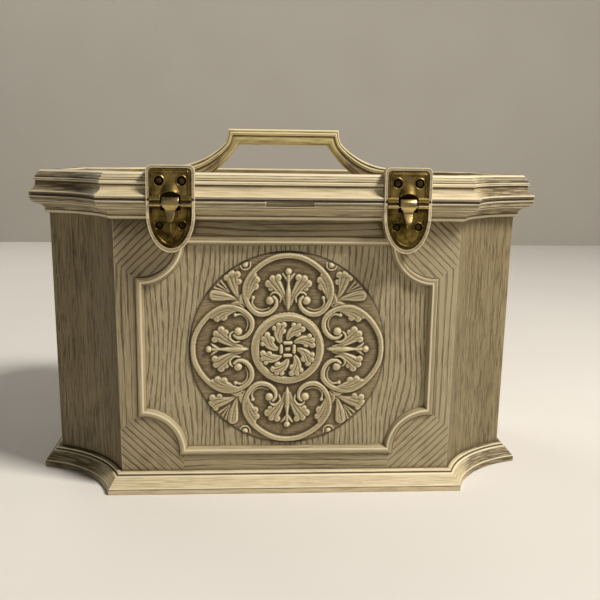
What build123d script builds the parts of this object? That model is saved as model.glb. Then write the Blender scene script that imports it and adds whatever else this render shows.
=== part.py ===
"""Sewing box with scooped corners: hinged lid, bail handle, two snap latches and a tray.

Millimetres. X runs across the front, -Y faces the user, +Z is up, and the origin is the middle of
the footprint on the table. Left and right are as the user sees them from the front.
"""

import math
import os

from build123d import *

os.makedirs("parts", exist_ok=True)

# Plan of the walls. The four vertical corners are hollowed as shallow arcs.
WALL_HALF_WIDTH = 164.2
WALL_HALF_DEPTH = 102.0
WALL_LEAN = 0.0115
SCOOP_CUT = 52.0
SCOOP_RISE = 7.9
WALL = 4.5

# Heights
FLOOR_TOP = 4.0
FOOT_RECESS = 1.5
FOOT_RIM = 6.0
SEAM_Z = 198.5
BODY_GAP = 0.3
LID_BOTTOM = SEAM_Z + BODY_GAP
LID_HEIGHT = 16.5
LID_TOP = LID_BOTTOM + LID_HEIGHT
LID_FLOOR = LID_BOTTOM + 7.7
LID_SKIN = 3.0

# Mouldings as (distance outside the wall, height) from the lowest level to the highest
PLINTH = [
    (10.0, 0.0),
    (10.6, 0.6),
    (10.6, 3.8),
    (9.7, 4.7),
    (6.6, 8.5),
    (5.5, 8.8),
    (5.3, 10.1),
    (3.6, 10.9),
    (2.9, 11.0),
    (2.5, 12.3),
    (1.2, 12.9),
    (0.0, 13.1),
]
CORNICE = [
    (0.0, -12.8),
    (1.5, -12.3),
    (1.6, -11.0),
    (0.8, -10.5),
    (1.2, -9.0),
    (2.5, -7.4),
    (4.7, -6.1),
    (8.4, -5.5),
    (8.7, -4.6),
    (9.9, -4.4),
    (10.1, -2.7),
    (9.5, -2.4),
    (11.5, -2.0),
    (11.5, 0.0),
]
LID_PROFILE = [
    (11.5, 0.0),
    (11.5, 2.3),
    (10.3, 3.0),
    (8.4, 4.4),
    (7.3, 6.6),
    (7.1, 9.3),
    (7.9, 9.5),
    (7.8, 10.8),
    (7.0, 11.1),
    (6.9, 12.6),
    (5.8, 12.9),
    (5.6, 14.4),
    (4.4, 15.6),
    (2.7, 16.5),
]
RIM_INNER = -7.0
RIM_INNER_FOOT = -8.0
RIM_WALL = 3.0

# Front panel: sunken field with hollowed corners inside a raised double bead
PANEL_HALF_WIDTH = 98.0
PANEL_HALF_HEIGHT = 72.5
PANEL_MID_Z = SEAM_Z / 2 + 0.15
PANEL_NOTCH = 27.5
FIELD_SINK = 2.2
BEAD_RISE = 1.2
MEDALLION_MID_Z = PANEL_MID_Z - 0.6
MEDALLION_RADIUS = 66.0
ROSETTE_RING = 22.6
ROSETTE_RING_HALF = 2.4

# Latches: pads, sheet brass plates, pivot and rivets. DISTANCE values are from the mid plane.
LATCH_X = 75.8
LIP_OUT = 11.5
PAD_PROUD = 1.02
PAD_DISTANCE = WALL_HALF_DEPTH + WALL_LEAN * SEAM_Z + LIP_OUT + PAD_PROUD
PAD_ROOT = WALL_HALF_DEPTH - 0.5
PAD_HALF_WIDTH = 15.3
PAD_RIM = 1.8
PAD_CORNER = 3.5
POCKET_DEPTH = 1.5
PLATE_FIT = 0.2
SHEET = 0.8
SHIELD_MID_Z = SEAM_Z - 8.5
SHIELD_DROP = 24.8
LID_PAD_TOP = LID_TOP + 5.0
LID_PAD_BACK = PAD_DISTANCE - 9.0
PIVOT_Z = SEAM_Z - 3.0
KNUCKLE_RADIUS = 1.6
LATCH_PIN_RADIUS = 0.7
LATCH_RUNNING_FIT = 0.06
LEVER_HALF_WIDTH = 5.9
SIDE_GAP = 0.4
HOOK_HALF_WIDTH = 3.0
SLOT_HALF_WIDTH = 5.3
SLOT_BOTTOM = LID_BOTTOM + 1.1
SLOT_TOP = LID_BOTTOM + 4.0
RIVET_SPREAD = 7.0
RIVET_SHANK = 1.4
RIVET_HEAD = 2.6
RIVET_LENGTH = 6.0
KEEPER_RIVET_Z = LID_BOTTOM + 11.6
PLATE_RIVET_Z = SEAM_Z - 16.2

# Hinges on the back
HINGE_X = 92.0
HINGE_HALF_WIDTH = 15.0
HINGE_PAD_HALF = 17.0
HINGE_PIN_RADIUS = 1.1
HINGE_KNUCKLE_RADIUS = 2.4
HINGE_AXIS_DISTANCE = PAD_DISTANCE + 2.5
HINGE_AXIS_Z = SEAM_Z + BODY_GAP / 2
HINGE_LEAF_HEIGHT = 14.0
HINGE_MIDDLE_HALF = 6.5
STOP_ANGLE = 50.5
STOP_REACH = 7.5
SCREW_SHANK = 1.2
SCREW_HEAD = 2.5
SCREW_LENGTH = 9.0

# Bail handle: each arm follows an arc that starts level at its pin and rises to the bar
HANDLE_AXIS_LIFT = 7.6
HANDLE_AXIS_Z = LID_FLOOR + HANDLE_AXIS_LIFT
HANDLE_RISE = 32.6
HANDLE_TOP = HANDLE_AXIS_Z + HANDLE_RISE
BAR_HEIGHT = 11.5
BAR_STEP = 6.73
BAR_UNDERSIDE = HANDLE_TOP - BAR_HEIGHT
BAND_HEIGHT = 4.4
ARM_RADIUS = 53.0
ARM_HEIGHT = 9.0
HANDLE_END_X = 83.5
HANDLE_LEVEL_END = 1.5
ARM_CENTRE_X = HANDLE_END_X - HANDLE_LEVEL_END
ARM_CENTRE_Z = HANDLE_AXIS_Z + ARM_RADIUS
ARM_OUTER_RADIUS = ARM_RADIUS - ARM_HEIGHT / 2
ARM_INNER_RADIUS = ARM_RADIUS + ARM_HEIGHT / 2
ARM_BAND_RADIUS = ARM_OUTER_RADIUS + 0.45 * ARM_HEIGHT
HANDLE_HALF_DEPTH = 5.5
HANDLE_BAND_HALF_DEPTH = 6.5
HANDLE_PIN_RADIUS = 2.0
HANDLE_RUNNING_FIT = 0.06
HANDLE_BORE_DEPTH = 9.3
HANDLE_PIN_GRIP = 8.8
BRACKET_GAP = 0.7
BRACKET_LENGTH = 17.8
BRACKET_START_X = HANDLE_END_X + BRACKET_GAP
BRACKET_END_X = BRACKET_START_X + BRACKET_LENGTH
BRACKET_TOP = HANDLE_AXIS_Z + 4.1
BRACKET_HALF_DEPTH = 6.5
BRACKET_BORE_DEPTH = 14.0
BRACKET_SCREW_INSET = 4.5
BRACKET_SCREW_DEPTH = 4.7

# Tray
LEDGE_TOP = SEAM_Z - 40.5
LEDGE_INNER = -11.0
TRAY_BOTTOM = LEDGE_TOP + BODY_GAP
TRAY_HEIGHT = 30.0
TRAY_OUTER = -6.2
TRAY_SHEET = 2.0
NOTCH_RADIUS = 16.0
NOTCH_LIFT = 4.0
DIVIDER_X = 58.0
DIVIDER_HEIGHT = 26.0
DIVIDER_END_HEIGHT = 14.0
DIVIDER_END_RUN = 12.0
BACK_WELL_Y = 32.0
SPOOL_PEG_FOOT = 2.2
SPOOL_PEG_TIP = 1.8
SPOOL_PEG_HEIGHT = 22.0
SPOOL_SHIFT = 4.5
SPOOL_STEP_X = 32.0
SPOOL_STEP_Y = 34.0


def plan_corner(offset, z):
    """Start, middle and end of one scooped corner in the +X +Y quarter."""
    half_w = WALL_HALF_WIDTH + WALL_LEAN * z
    half_d = WALL_HALF_DEPTH + WALL_LEAN * z
    half_chord = SCOOP_CUT / math.sqrt(2)
    radius = (half_chord**2 + SCOOP_RISE**2) / (2 * SCOOP_RISE)
    reach = (radius - SCOOP_RISE) / math.sqrt(2) - SCOOP_CUT / 2
    cx = half_w + reach
    cy = half_d + reach
    r = radius - offset
    start = (cx - math.sqrt(r**2 - (half_d + offset - cy) ** 2), half_d + offset)
    middle = (cx - r / math.sqrt(2), cy - r / math.sqrt(2))
    end = (half_w + offset, cy - math.sqrt(r**2 - (half_w + offset - cx) ** 2))
    return start, middle, end


def plan_face(offset, z):
    """Plan of the box at height z, grown outward by offset from the wall."""
    (ax, ay), (mx, my), (bx, by) = plan_corner(offset, z)
    with BuildSketch(Plane.XY.offset(z)) as plan:
        with BuildLine():
            Line((-ax, -ay), (ax, -ay))
            ThreePointArc((ax, -ay), (mx, -my), (bx, -by))
            Line((bx, -by), (bx, by))
            ThreePointArc((bx, by), (mx, my), (ax, ay))
            Line((ax, ay), (-ax, ay))
            ThreePointArc((-ax, ay), (-mx, my), (-bx, by))
            Line((-bx, by), (-bx, -by))
            ThreePointArc((-bx, -by), (-mx, -my), (-ax, -ay))
        make_face()
    return plan.sketch.face()


def plan_stack(levels, base=0.0):
    """Faces of a moulding: one plan for each (offset, height) level."""
    return [plan_face(offset, base + height) for offset, height in levels]


FRONT_WALL = Plane(origin=(0, -WALL_HALF_DEPTH, 0), x_dir=(1, 0, 0), z_dir=(0, -1, -WALL_LEAN))


def panel_face(grow, lift):
    """Outline of the front panel grown by grow, lift millimetres in front of the wall."""
    r = PANEL_NOTCH - grow
    run = math.sqrt(r**2 - grow**2)
    w = PANEL_HALF_WIDTH + grow
    h = PANEL_HALF_HEIGHT + grow
    ax = PANEL_HALF_WIDTH - run
    by = PANEL_HALF_HEIGHT - run
    mx = PANEL_HALF_WIDTH - r / math.sqrt(2)
    my = PANEL_HALF_HEIGHT - r / math.sqrt(2)
    z0 = PANEL_MID_Z
    with BuildSketch(FRONT_WALL.offset(lift)) as plan:
        with BuildLine():
            Line((-ax, z0 - h), (ax, z0 - h))
            ThreePointArc((ax, z0 - h), (mx, z0 - my), (w, z0 - by))
            Line((w, z0 - by), (w, z0 + by))
            ThreePointArc((w, z0 + by), (mx, z0 + my), (ax, z0 + h))
            Line((ax, z0 + h), (-ax, z0 + h))
            ThreePointArc((-ax, z0 + h), (-mx, z0 + my), (-w, z0 + by))
            Line((-w, z0 + by), (-w, z0 - by))
            ThreePointArc((-w, z0 - by), (-mx, z0 - my), (-ax, z0 - h))
        make_face()
    return plan.sketch.face()


def shield_face(half_width, drop, top_z, distance):
    """Shield on the left latch's centre: straight sides above half an ellipse."""
    with BuildSketch(Plane.XZ.offset(distance)) as plan:
        with Locations((-LATCH_X, SHIELD_MID_Z)):
            Ellipse(half_width, drop)
        with Locations((-LATCH_X, SHIELD_MID_Z + drop)):
            Rectangle(2 * half_width + 2, 2 * drop, mode=Mode.SUBTRACT)
        with Locations((-LATCH_X, (SHIELD_MID_Z + top_z) / 2)):
            Rectangle(2 * half_width, top_z - SHIELD_MID_Z)
    return plan.sketch.face()


def round_topped_face(half_width, bottom_z, top_z, corner, distance):
    """Upright rectangle on the left latch's centre with its two top corners rounded."""
    x = -LATCH_X
    with BuildSketch(Plane.XZ.offset(distance)) as plan:
        with BuildLine():
            Line((x - half_width, bottom_z), (x + half_width, bottom_z))
            Line((x + half_width, bottom_z), (x + half_width, top_z - corner))
            RadiusArc((x + half_width, top_z - corner), (x + half_width - corner, top_z), -corner)
            Line((x + half_width - corner, top_z), (x - half_width + corner, top_z))
            RadiusArc((x - half_width + corner, top_z), (x - half_width, top_z - corner), -corner)
            Line((x - half_width, top_z - corner), (x - half_width, bottom_z))
        make_face()
    return plan.sketch.face()


def save(part, name):
    """Label a finished node and write it."""
    part.label = name
    export_step(part, f"parts/{name}.step")


def save_pair(part, name):
    """Write the left-hand node and its mirror image on the right."""
    save(part, f"{name}_left")
    save(mirror(part, about=Plane.YZ), f"{name}_right")


# Case: one moulding with plinth, leaning walls, cornice, tray ledge, panel and pads
with BuildPart() as case_shell:
    loft(plan_stack(PLINTH) + plan_stack(CORNICE, SEAM_Z), ruled=True)
    loft(
        [
            plan_face(-WALL, FLOOR_TOP),
            plan_face(-WALL, LEDGE_TOP - 10),
            plan_face(LEDGE_INNER, LEDGE_TOP - 2.5),
            plan_face(LEDGE_INNER, LEDGE_TOP),
        ],
        ruled=True,
        mode=Mode.SUBTRACT,
    )
    loft([plan_face(-WALL, LEDGE_TOP), plan_face(-WALL, SEAM_Z + 1)], ruled=True, mode=Mode.SUBTRACT)
    loft([plan_face(-FOOT_RIM, 0), plan_face(-FOOT_RIM, FOOT_RECESS)], ruled=True, mode=Mode.SUBTRACT)

    # Bead around the panel, then the sunken field inside it
    loft([panel_face(2.4, -0.3), panel_face(1.6, BEAD_RISE)], ruled=True)
    loft([panel_face(0.7, BEAD_RISE + 0.1), panel_face(0.1, 0.4)], ruled=True, mode=Mode.SUBTRACT)
    loft([panel_face(-1.5, 0.5), panel_face(-2.2, -FIELD_SINK)], ruled=True, mode=Mode.SUBTRACT)

    # Incised circle of the medallion and the ring around its rosette
    with BuildSketch(FRONT_WALL.offset(-FIELD_SINK)):
        with Locations((0, MEDALLION_MID_Z)):
            Circle(MEDALLION_RADIUS + 0.4)
            Circle(MEDALLION_RADIUS - 0.4, mode=Mode.SUBTRACT)
    extrude(amount=-0.5, mode=Mode.SUBTRACT)
    with BuildSketch(FRONT_WALL.offset(-FIELD_SINK - 0.2)):
        with Locations((0, MEDALLION_MID_Z)):
            Circle(ROSETTE_RING + ROSETTE_RING_HALF)
            Circle(ROSETTE_RING - ROSETTE_RING_HALF, mode=Mode.SUBTRACT)
    extrude(amount=1.6, taper=20)

    # Latch pads on the front
    for side in (-1, 1):
        pad = shield_face(PAD_HALF_WIDTH, SHIELD_DROP, SEAM_Z, PAD_ROOT)
        pocket = shield_face(
            PAD_HALF_WIDTH - PAD_RIM, SHIELD_DROP - PAD_RIM - 0.8, SEAM_Z + 1, PAD_DISTANCE
        )
        if side > 0:
            pad = mirror(pad, about=Plane.YZ, mode=Mode.PRIVATE)
            pocket = mirror(pocket, about=Plane.YZ, mode=Mode.PRIVATE)
        extrude(pad, amount=PAD_DISTANCE - PAD_ROOT, dir=(0, -1, 0))
        extrude(pocket, amount=POCKET_DEPTH, dir=(0, 1, 0), mode=Mode.SUBTRACT)
        with Locations((side * LATCH_X, -PAD_DISTANCE + POCKET_DEPTH, PIVOT_Z)):
            Box(2 * (LEVER_HALF_WIDTH + SIDE_GAP), 1.6, 2 * KNUCKLE_RADIUS + 1.2, mode=Mode.SUBTRACT)
        with Locations(
            Plane.XZ.offset(PAD_DISTANCE - POCKET_DEPTH)
            * Pos(side * LATCH_X - RIVET_SPREAD, PLATE_RIVET_Z, 0),
            Plane.XZ.offset(PAD_DISTANCE - POCKET_DEPTH)
            * Pos(side * LATCH_X + RIVET_SPREAD, PLATE_RIVET_Z, 0),
        ):
            Cylinder(
                RIVET_SHANK + 0.05,
                RIVET_LENGTH,
                align=(Align.CENTER, Align.CENTER, Align.MAX),
                mode=Mode.SUBTRACT,
            )

    # Hinge pads on the back, with a slanted underside
    for side in (-1, 1):
        with BuildSketch(Plane.YZ.offset(side * HINGE_X - HINGE_PAD_HALF)):
            with BuildLine():
                Polyline(
                    (PAD_ROOT, SEAM_Z),
                    (PAD_DISTANCE, SEAM_Z),
                    (PAD_DISTANCE, SEAM_Z - 17),
                    (PAD_ROOT, SEAM_Z - 30),
                    (PAD_ROOT, SEAM_Z),
                )
            make_face()
        extrude(amount=2 * HINGE_PAD_HALF)
        with Locations(
            Plane.XZ.offset(-PAD_DISTANCE) * Pos(side * HINGE_X - 9, HINGE_AXIS_Z - 9.5, 0),
            Plane.XZ.offset(-PAD_DISTANCE) * Pos(side * HINGE_X + 9, HINGE_AXIS_Z - 9.5, 0),
        ):
            Cylinder(
                SCREW_SHANK + 0.05,
                SCREW_LENGTH,
                align=(Align.CENTER, Align.CENTER, Align.MIN),
                mode=Mode.SUBTRACT,
            )

save(case_shell.part, "case_shell")

# Lid: moulded rim around a recessed top that the handle folds into
with BuildPart() as lid_shell:
    loft(plan_stack(LID_PROFILE, LID_BOTTOM), ruled=True)
    loft(
        [plan_face(RIM_INNER_FOOT, LID_FLOOR), plan_face(RIM_INNER, LID_TOP + 0.5)],
        ruled=True,
        mode=Mode.SUBTRACT,
    )
    loft(
        [plan_face(4.0, LID_BOTTOM - 1), plan_face(3.6, LID_FLOOR - LID_SKIN)],
        ruled=True,
        mode=Mode.SUBTRACT,
    )

    # Hollow of the rim, between the moulding and the wall of the recess
    hollow_top = LID_TOP - LID_SKIN
    hollow = loft(
        [plan_face(3.6, LID_FLOOR - LID_SKIN), plan_face(1.4, hollow_top)],
        ruled=True,
        mode=Mode.PRIVATE,
    )
    core = loft(
        [
            plan_face(RIM_INNER_FOOT + RIM_WALL, LID_FLOOR - LID_SKIN),
            plan_face(RIM_INNER + RIM_WALL, hollow_top),
        ],
        ruled=True,
        mode=Mode.PRIVATE,
    )
    add(hollow - core, mode=Mode.SUBTRACT)

    # Latch pads, standing a little above the rim
    for side in (-1, 1):
        pad = round_topped_face(
            PAD_HALF_WIDTH, LID_BOTTOM, LID_PAD_TOP, PAD_CORNER, LID_PAD_BACK
        )
        foot = round_topped_face(PAD_HALF_WIDTH, LID_BOTTOM, LID_TOP - 1, 1.0, PAD_ROOT)
        pocket = round_topped_face(
            PAD_HALF_WIDTH - PAD_RIM,
            LID_BOTTOM - 1,
            LID_PAD_TOP - PAD_RIM,
            PAD_CORNER - 0.5,
            PAD_DISTANCE,
        )
        if side > 0:
            pad = mirror(pad, about=Plane.YZ, mode=Mode.PRIVATE)
            foot = mirror(foot, about=Plane.YZ, mode=Mode.PRIVATE)
            pocket = mirror(pocket, about=Plane.YZ, mode=Mode.PRIVATE)
        extrude(pad, amount=PAD_DISTANCE - LID_PAD_BACK, dir=(0, -1, 0))
        extrude(foot, amount=PAD_DISTANCE - PAD_ROOT, dir=(0, -1, 0))
        extrude(pocket, amount=POCKET_DEPTH, dir=(0, 1, 0), mode=Mode.SUBTRACT)
        with Locations((side * LATCH_X, -PAD_DISTANCE + POCKET_DEPTH, (SLOT_BOTTOM + SLOT_TOP) / 2)):
            Box(2 * SLOT_HALF_WIDTH + 0.6, 3.0, SLOT_TOP - SLOT_BOTTOM + 1, mode=Mode.SUBTRACT)
        with Locations(
            Plane.XZ.offset(PAD_DISTANCE - POCKET_DEPTH)
            * Pos(side * LATCH_X - RIVET_SPREAD, KEEPER_RIVET_Z, 0),
            Plane.XZ.offset(PAD_DISTANCE - POCKET_DEPTH)
            * Pos(side * LATCH_X + RIVET_SPREAD, KEEPER_RIVET_Z, 0),
        ):
            Cylinder(
                RIVET_SHANK + 0.05,
                RIVET_LENGTH,
                align=(Align.CENTER, Align.CENTER, Align.MAX),
                mode=Mode.SUBTRACT,
            )

    # Hinge pads on the back
    for side in (-1, 1):
        with Locations((side * HINGE_X, (PAD_ROOT + PAD_DISTANCE) / 2, LID_BOTTOM)):
            Box(
                2 * HINGE_PAD_HALF,
                PAD_DISTANCE - PAD_ROOT,
                LID_HEIGHT - 1,
                align=(Align.CENTER, Align.CENTER, Align.MIN),
            )
        with Locations(
            Plane.XZ.offset(-PAD_DISTANCE) * Pos(side * HINGE_X - 9, HINGE_AXIS_Z + 9.5, 0),
            Plane.XZ.offset(-PAD_DISTANCE) * Pos(side * HINGE_X + 9, HINGE_AXIS_Z + 9.5, 0),
        ):
            Cylinder(
                SCREW_SHANK + 0.05,
                SCREW_LENGTH,
                align=(Align.CENTER, Align.CENTER, Align.MIN),
                mode=Mode.SUBTRACT,
            )

    # Holes for the bracket screws
    for side in (-1, 1):
        with Locations(
            (side * (BRACKET_START_X + BRACKET_SCREW_INSET), 0, LID_FLOOR),
            (side * (BRACKET_END_X - BRACKET_SCREW_INSET), 0, LID_FLOOR),
        ):
            Cylinder(
                SCREW_SHANK + 0.1,
                LID_SKIN + 1,
                align=(Align.CENTER, Align.CENTER, Align.MAX),
                mode=Mode.SUBTRACT,
            )

save(lid_shell.part, "lid_shell")

# Lower latch plate: shield of sheet brass with two knuckles and a raised crease
plate_back = PAD_DISTANCE - POCKET_DEPTH
plate_front = plate_back + SHEET
pivot_distance = plate_back + KNUCKLE_RADIUS
knuckle_length = PAD_HALF_WIDTH - PAD_RIM - PLATE_FIT - LEVER_HALF_WIDTH - SIDE_GAP
with BuildPart() as latch_plate:
    shield = shield_face(
        PAD_HALF_WIDTH - PAD_RIM - PLATE_FIT, SHIELD_DROP - PAD_RIM - 0.8 - PLATE_FIT, PIVOT_Z, plate_back
    )
    extrude(shield, amount=SHEET, dir=(0, -1, 0))
    with Locations((-LATCH_X, -plate_back, PIVOT_Z - 2.9)):
        Box(
            2 * (LEVER_HALF_WIDTH + SIDE_GAP),
            4,
            8,
            align=(Align.CENTER, Align.CENTER, Align.MIN),
            mode=Mode.SUBTRACT,
        )
    for side in (-1, 1):
        middle = -LATCH_X + side * (LEVER_HALF_WIDTH + SIDE_GAP + knuckle_length / 2)
        with Locations(Pos(middle, -pivot_distance, PIVOT_Z) * Rot(0, 90, 0)):
            Cylinder(KNUCKLE_RADIUS, knuckle_length)
    with BuildSketch(Plane.XY.offset(SHIELD_MID_Z - 19)):
        with BuildLine():
            Polyline(
                (-LATCH_X - 3, -plate_front + 0.1),
                (-LATCH_X, -plate_front - 0.6),
                (-LATCH_X + 3, -plate_front + 0.1),
                (-LATCH_X - 3, -plate_front + 0.1),
            )
        make_face()
    extrude(amount=14)
    with Locations(Pos(-LATCH_X, -pivot_distance, PIVOT_Z) * Rot(0, 90, 0)):
        Cylinder(LATCH_PIN_RADIUS + 0.02, 40, mode=Mode.SUBTRACT)
    with Locations(
        Plane.XZ.offset(plate_back) * Pos(-LATCH_X - RIVET_SPREAD, PLATE_RIVET_Z, 0),
        Plane.XZ.offset(plate_back) * Pos(-LATCH_X + RIVET_SPREAD, PLATE_RIVET_Z, 0),
    ):
        Cylinder(RIVET_SHANK + 0.05, 4, mode=Mode.SUBTRACT)

save_pair(latch_plate.part, "latch_plate")

# Pin through the knuckles
with BuildPart() as latch_pin:
    with Locations(Pos(-LATCH_X, -pivot_distance, PIVOT_Z) * Rot(0, 90, 0)):
        Cylinder(LATCH_PIN_RADIUS, 2 * (PAD_HALF_WIDTH - PAD_RIM - PLATE_FIT))

save_pair(latch_pin.part, "latch_pin")

# Torsion spring wound on the pin between the lever's two knuckles
with BuildPart() as latch_spring:
    coil_half = 1.9
    coil_turns = 6
    pitch = 2 * coil_half / coil_turns
    inner = LATCH_PIN_RADIUS + 0.04
    with BuildSketch(Plane.XY):
        with BuildLine():
            points = [(-coil_half, inner)]
            for turn in range(coil_turns):
                points.append((-coil_half + pitch * (turn + 0.0), inner + 0.16))
                points.append((-coil_half + pitch * (turn + 0.5), inner + 0.32))
            points.append((coil_half, inner + 0.16))
            points.append((coil_half, inner))
            Polyline(*points, close=True)
        make_face()
    revolve(axis=Axis.X)

spring_part = Pos(-LATCH_X, -pivot_distance, PIVOT_Z) * latch_spring.part
save_pair(spring_part, "latch_spring")

# Lever: hook over the keeper's bar, barrel on the pin, flared thumb tongue.
# Its sections are points (forward of the pin, above the pin).
STRAP_SECTION = [
    (0.6, 4.85),
    (1.3, 4.1),
    (1.35, -3.7),
    (2.4, -3.7),
    (2.7, -1.5),
    (2.7, 1.5),
    (2.3, 4.3),
    (1.3, 5.7),
    (0.6, 5.7),
]
TONGUE_SECTION = [(1.35, -3.3), (2.4, -3.3), (2.7, -5.1), (4.6, -10.2), (3.8, -10.5), (1.8, -5.3)]


def about_pin(section):
    """Points of a lever section as (y, z) in the box's own axes."""
    return [(-pivot_distance - forward, PIVOT_Z + above) for forward, above in section]


with BuildPart() as latch_lever:
    with BuildSketch(Plane.YZ.offset(-LATCH_X - LEVER_HALF_WIDTH)):
        with BuildLine():
            Polyline(*about_pin(STRAP_SECTION), close=True)
        make_face()
    extrude(amount=2 * LEVER_HALF_WIDTH)
    with Locations((-LATCH_X, -pivot_distance + 0.7, PIVOT_Z + 5.275)):
        Box(2 * HOOK_HALF_WIDTH, 2.8, 0.85)
    with Locations(Pos(-LATCH_X, -pivot_distance, PIVOT_Z) * Rot(0, 90, 0)):
        Cylinder(KNUCKLE_RADIUS, 2 * LEVER_HALF_WIDTH)
        Cylinder(LATCH_PIN_RADIUS + LATCH_RUNNING_FIT, 2 * LEVER_HALF_WIDTH + 1, mode=Mode.SUBTRACT)
    with Locations((-LATCH_X, -pivot_distance - 0.2, PIVOT_Z)):
        Box(4.4, 3.0, 3.6, mode=Mode.SUBTRACT)
    with BuildSketch(Plane.YZ.offset(-LATCH_X - 2.7)):
        with BuildLine():
            Polyline(*about_pin(TONGUE_SECTION), close=True)
        make_face()
    extrude(amount=5.4)
    tongue_end = latch_lever.edges().filter_by(Axis.Y, tolerance=30).group_by(Axis.Z)[0]
    fillet(tongue_end, 1.8)

save_pair(latch_lever.part, "latch_lever")

def hood_face(half_width, rise, z):
    """Level section of the keeper's hood: a low arc in front of the left keeper plate."""
    y = -plate_front + 0.2
    with BuildSketch(Plane.XY.offset(z)) as section:
        with BuildLine():
            Line((-LATCH_X - half_width, y), (-LATCH_X + half_width, y))
            ThreePointArc(
                (-LATCH_X + half_width, y), (-LATCH_X, y - rise), (-LATCH_X - half_width, y)
            )
        make_face()
    return section.sketch.face()


# Keeper: round-topped brass plate with the hook's slot under a hood, and rolled lower edges
with BuildPart() as latch_keeper:
    plate = round_topped_face(
        PAD_HALF_WIDTH - PAD_RIM - PLATE_FIT,
        LID_BOTTOM + 0.15,
        LID_PAD_TOP - PAD_RIM - PLATE_FIT,
        PAD_CORNER - 0.5,
        plate_back,
    )
    extrude(plate, amount=SHEET, dir=(0, -1, 0))
    for side in (-1, 1):
        middle = -LATCH_X + side * (LEVER_HALF_WIDTH + SIDE_GAP + knuckle_length / 2)
        with Locations(Pos(middle, -plate_front - 0.35, LID_BOTTOM + 1.3) * Rot(0, 90, 0)):
            Cylinder(1.15, knuckle_length)
    loft([hood_face(4.4, 2.2, SLOT_TOP - 0.4), hood_face(1.0, 0.25, SLOT_TOP + 6.6)], ruled=True)
    with BuildSketch(Plane.XZ.offset(plate_back - 1)):
        slot_ends = (-LATCH_X - SLOT_HALF_WIDTH, -LATCH_X + SLOT_HALF_WIDTH)
        with BuildLine():
            Line((slot_ends[0], SLOT_BOTTOM), (slot_ends[1], SLOT_BOTTOM))
            ThreePointArc(
                (slot_ends[1], SLOT_BOTTOM), (-LATCH_X, SLOT_TOP), (slot_ends[0], SLOT_BOTTOM)
            )
        make_face()
    extrude(amount=5, mode=Mode.SUBTRACT)
    with Locations(
        Plane.XZ.offset(plate_back) * Pos(-LATCH_X - RIVET_SPREAD, KEEPER_RIVET_Z, 0),
        Plane.XZ.offset(plate_back) * Pos(-LATCH_X + RIVET_SPREAD, KEEPER_RIVET_Z, 0),
    ):
        Cylinder(RIVET_SHANK + 0.05, 4, mode=Mode.SUBTRACT)

save_pair(latch_keeper.part, "latch_keeper")

# Rivet with a low domed head, shank along +Y from the head's seat at the origin
with BuildPart() as rivet:
    with Locations(Plane.XZ):
        Cylinder(RIVET_HEAD, 0.9, align=(Align.CENTER, Align.CENTER, Align.MIN))
        Cylinder(
            RIVET_SHANK, RIVET_LENGTH - 0.2 + SHEET, align=(Align.CENTER, Align.CENTER, Align.MAX)
        )
    rim = rivet.edges().filter_by(GeomType.CIRCLE).group_by(Axis.Y)[0]
    chamfer(rim, 0.55)

for height, name in ((KEEPER_RIVET_Z, "keeper_rivet"), (PLATE_RIVET_Z, "plate_rivet")):
    save_pair(Pos(-LATCH_X - RIVET_SPREAD, -plate_front, height) * rivet.part, f"{name}_outer")
    save_pair(Pos(-LATCH_X + RIVET_SPREAD, -plate_front, height) * rivet.part, f"{name}_inner")

# Hinge leaf on the lid: plate, middle knuckle and a bent stop flange above the knuckle
stop = math.radians(STOP_ANGLE)
flange_root = 3.4
root_run = flange_root / math.tan(stop)
tip = (STOP_REACH * math.cos(stop), STOP_REACH * math.sin(stop))
across = (-SHEET * math.sin(stop), SHEET * math.cos(stop))
leaf_in = PAD_DISTANCE - HINGE_AXIS_DISTANCE


def leaf_part(sign):
    """One leaf about its own axis at the origin: sign +1 reaches up, -1 down."""
    middle = HINGE_MIDDLE_HALF
    with BuildPart() as leaf:
        with BuildSketch(Plane.YZ.offset(-HINGE_HALF_WIDTH)):
            with BuildLine():
                Polyline(
                    (leaf_in, 0),
                    (leaf_in + SHEET, 0),
                    (leaf_in + SHEET, sign * flange_root),
                    (root_run, sign * flange_root),
                    (tip[0], sign * tip[1]),
                    (tip[0] + across[0], sign * (tip[1] + across[1])),
                    (root_run + across[0] * 0.6, sign * (flange_root + SHEET)),
                    (leaf_in + SHEET, sign * (flange_root + SHEET)),
                    (leaf_in + SHEET, sign * HINGE_LEAF_HEIGHT),
                    (leaf_in, sign * HINGE_LEAF_HEIGHT),
                    close=True,
                )
            make_face()
        extrude(amount=2 * HINGE_HALF_WIDTH)
        spans = [(-middle + 0.15, middle - 0.15)]
        cuts = [(-HINGE_HALF_WIDTH - 1, -middle), (middle, HINGE_HALF_WIDTH + 1)]
        if sign < 0:
            spans = [(-HINGE_HALF_WIDTH, -middle - 0.15), (middle + 0.15, HINGE_HALF_WIDTH)]
            cuts = [(-middle - 0.15, middle + 0.15)]
        for low, high in cuts:
            with Locations(((low + high) / 2, leaf_in, 0)):
                Box(high - low, 3, 2 * (HINGE_KNUCKLE_RADIUS + 0.4), mode=Mode.SUBTRACT)
        for low, high in spans:
            with Locations(Pos((low + high) / 2, 0, 0) * Rot(0, 90, 0)):
                Cylinder(HINGE_KNUCKLE_RADIUS, high - low)
        bore = HINGE_PIN_RADIUS + (0.05 if sign > 0 else 0.02)
        with Locations(Rot(0, 90, 0)):
            Cylinder(bore, 2 * HINGE_HALF_WIDTH + 2, mode=Mode.SUBTRACT)
        with Locations(
            Plane.XZ.offset(-leaf_in) * Pos(-9, sign * 9.5, 0),
            Plane.XZ.offset(-leaf_in) * Pos(9, sign * 9.5, 0),
        ):
            Cylinder(SCREW_SHANK + 0.05, 4, mode=Mode.SUBTRACT)
    return leaf.part


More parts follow.
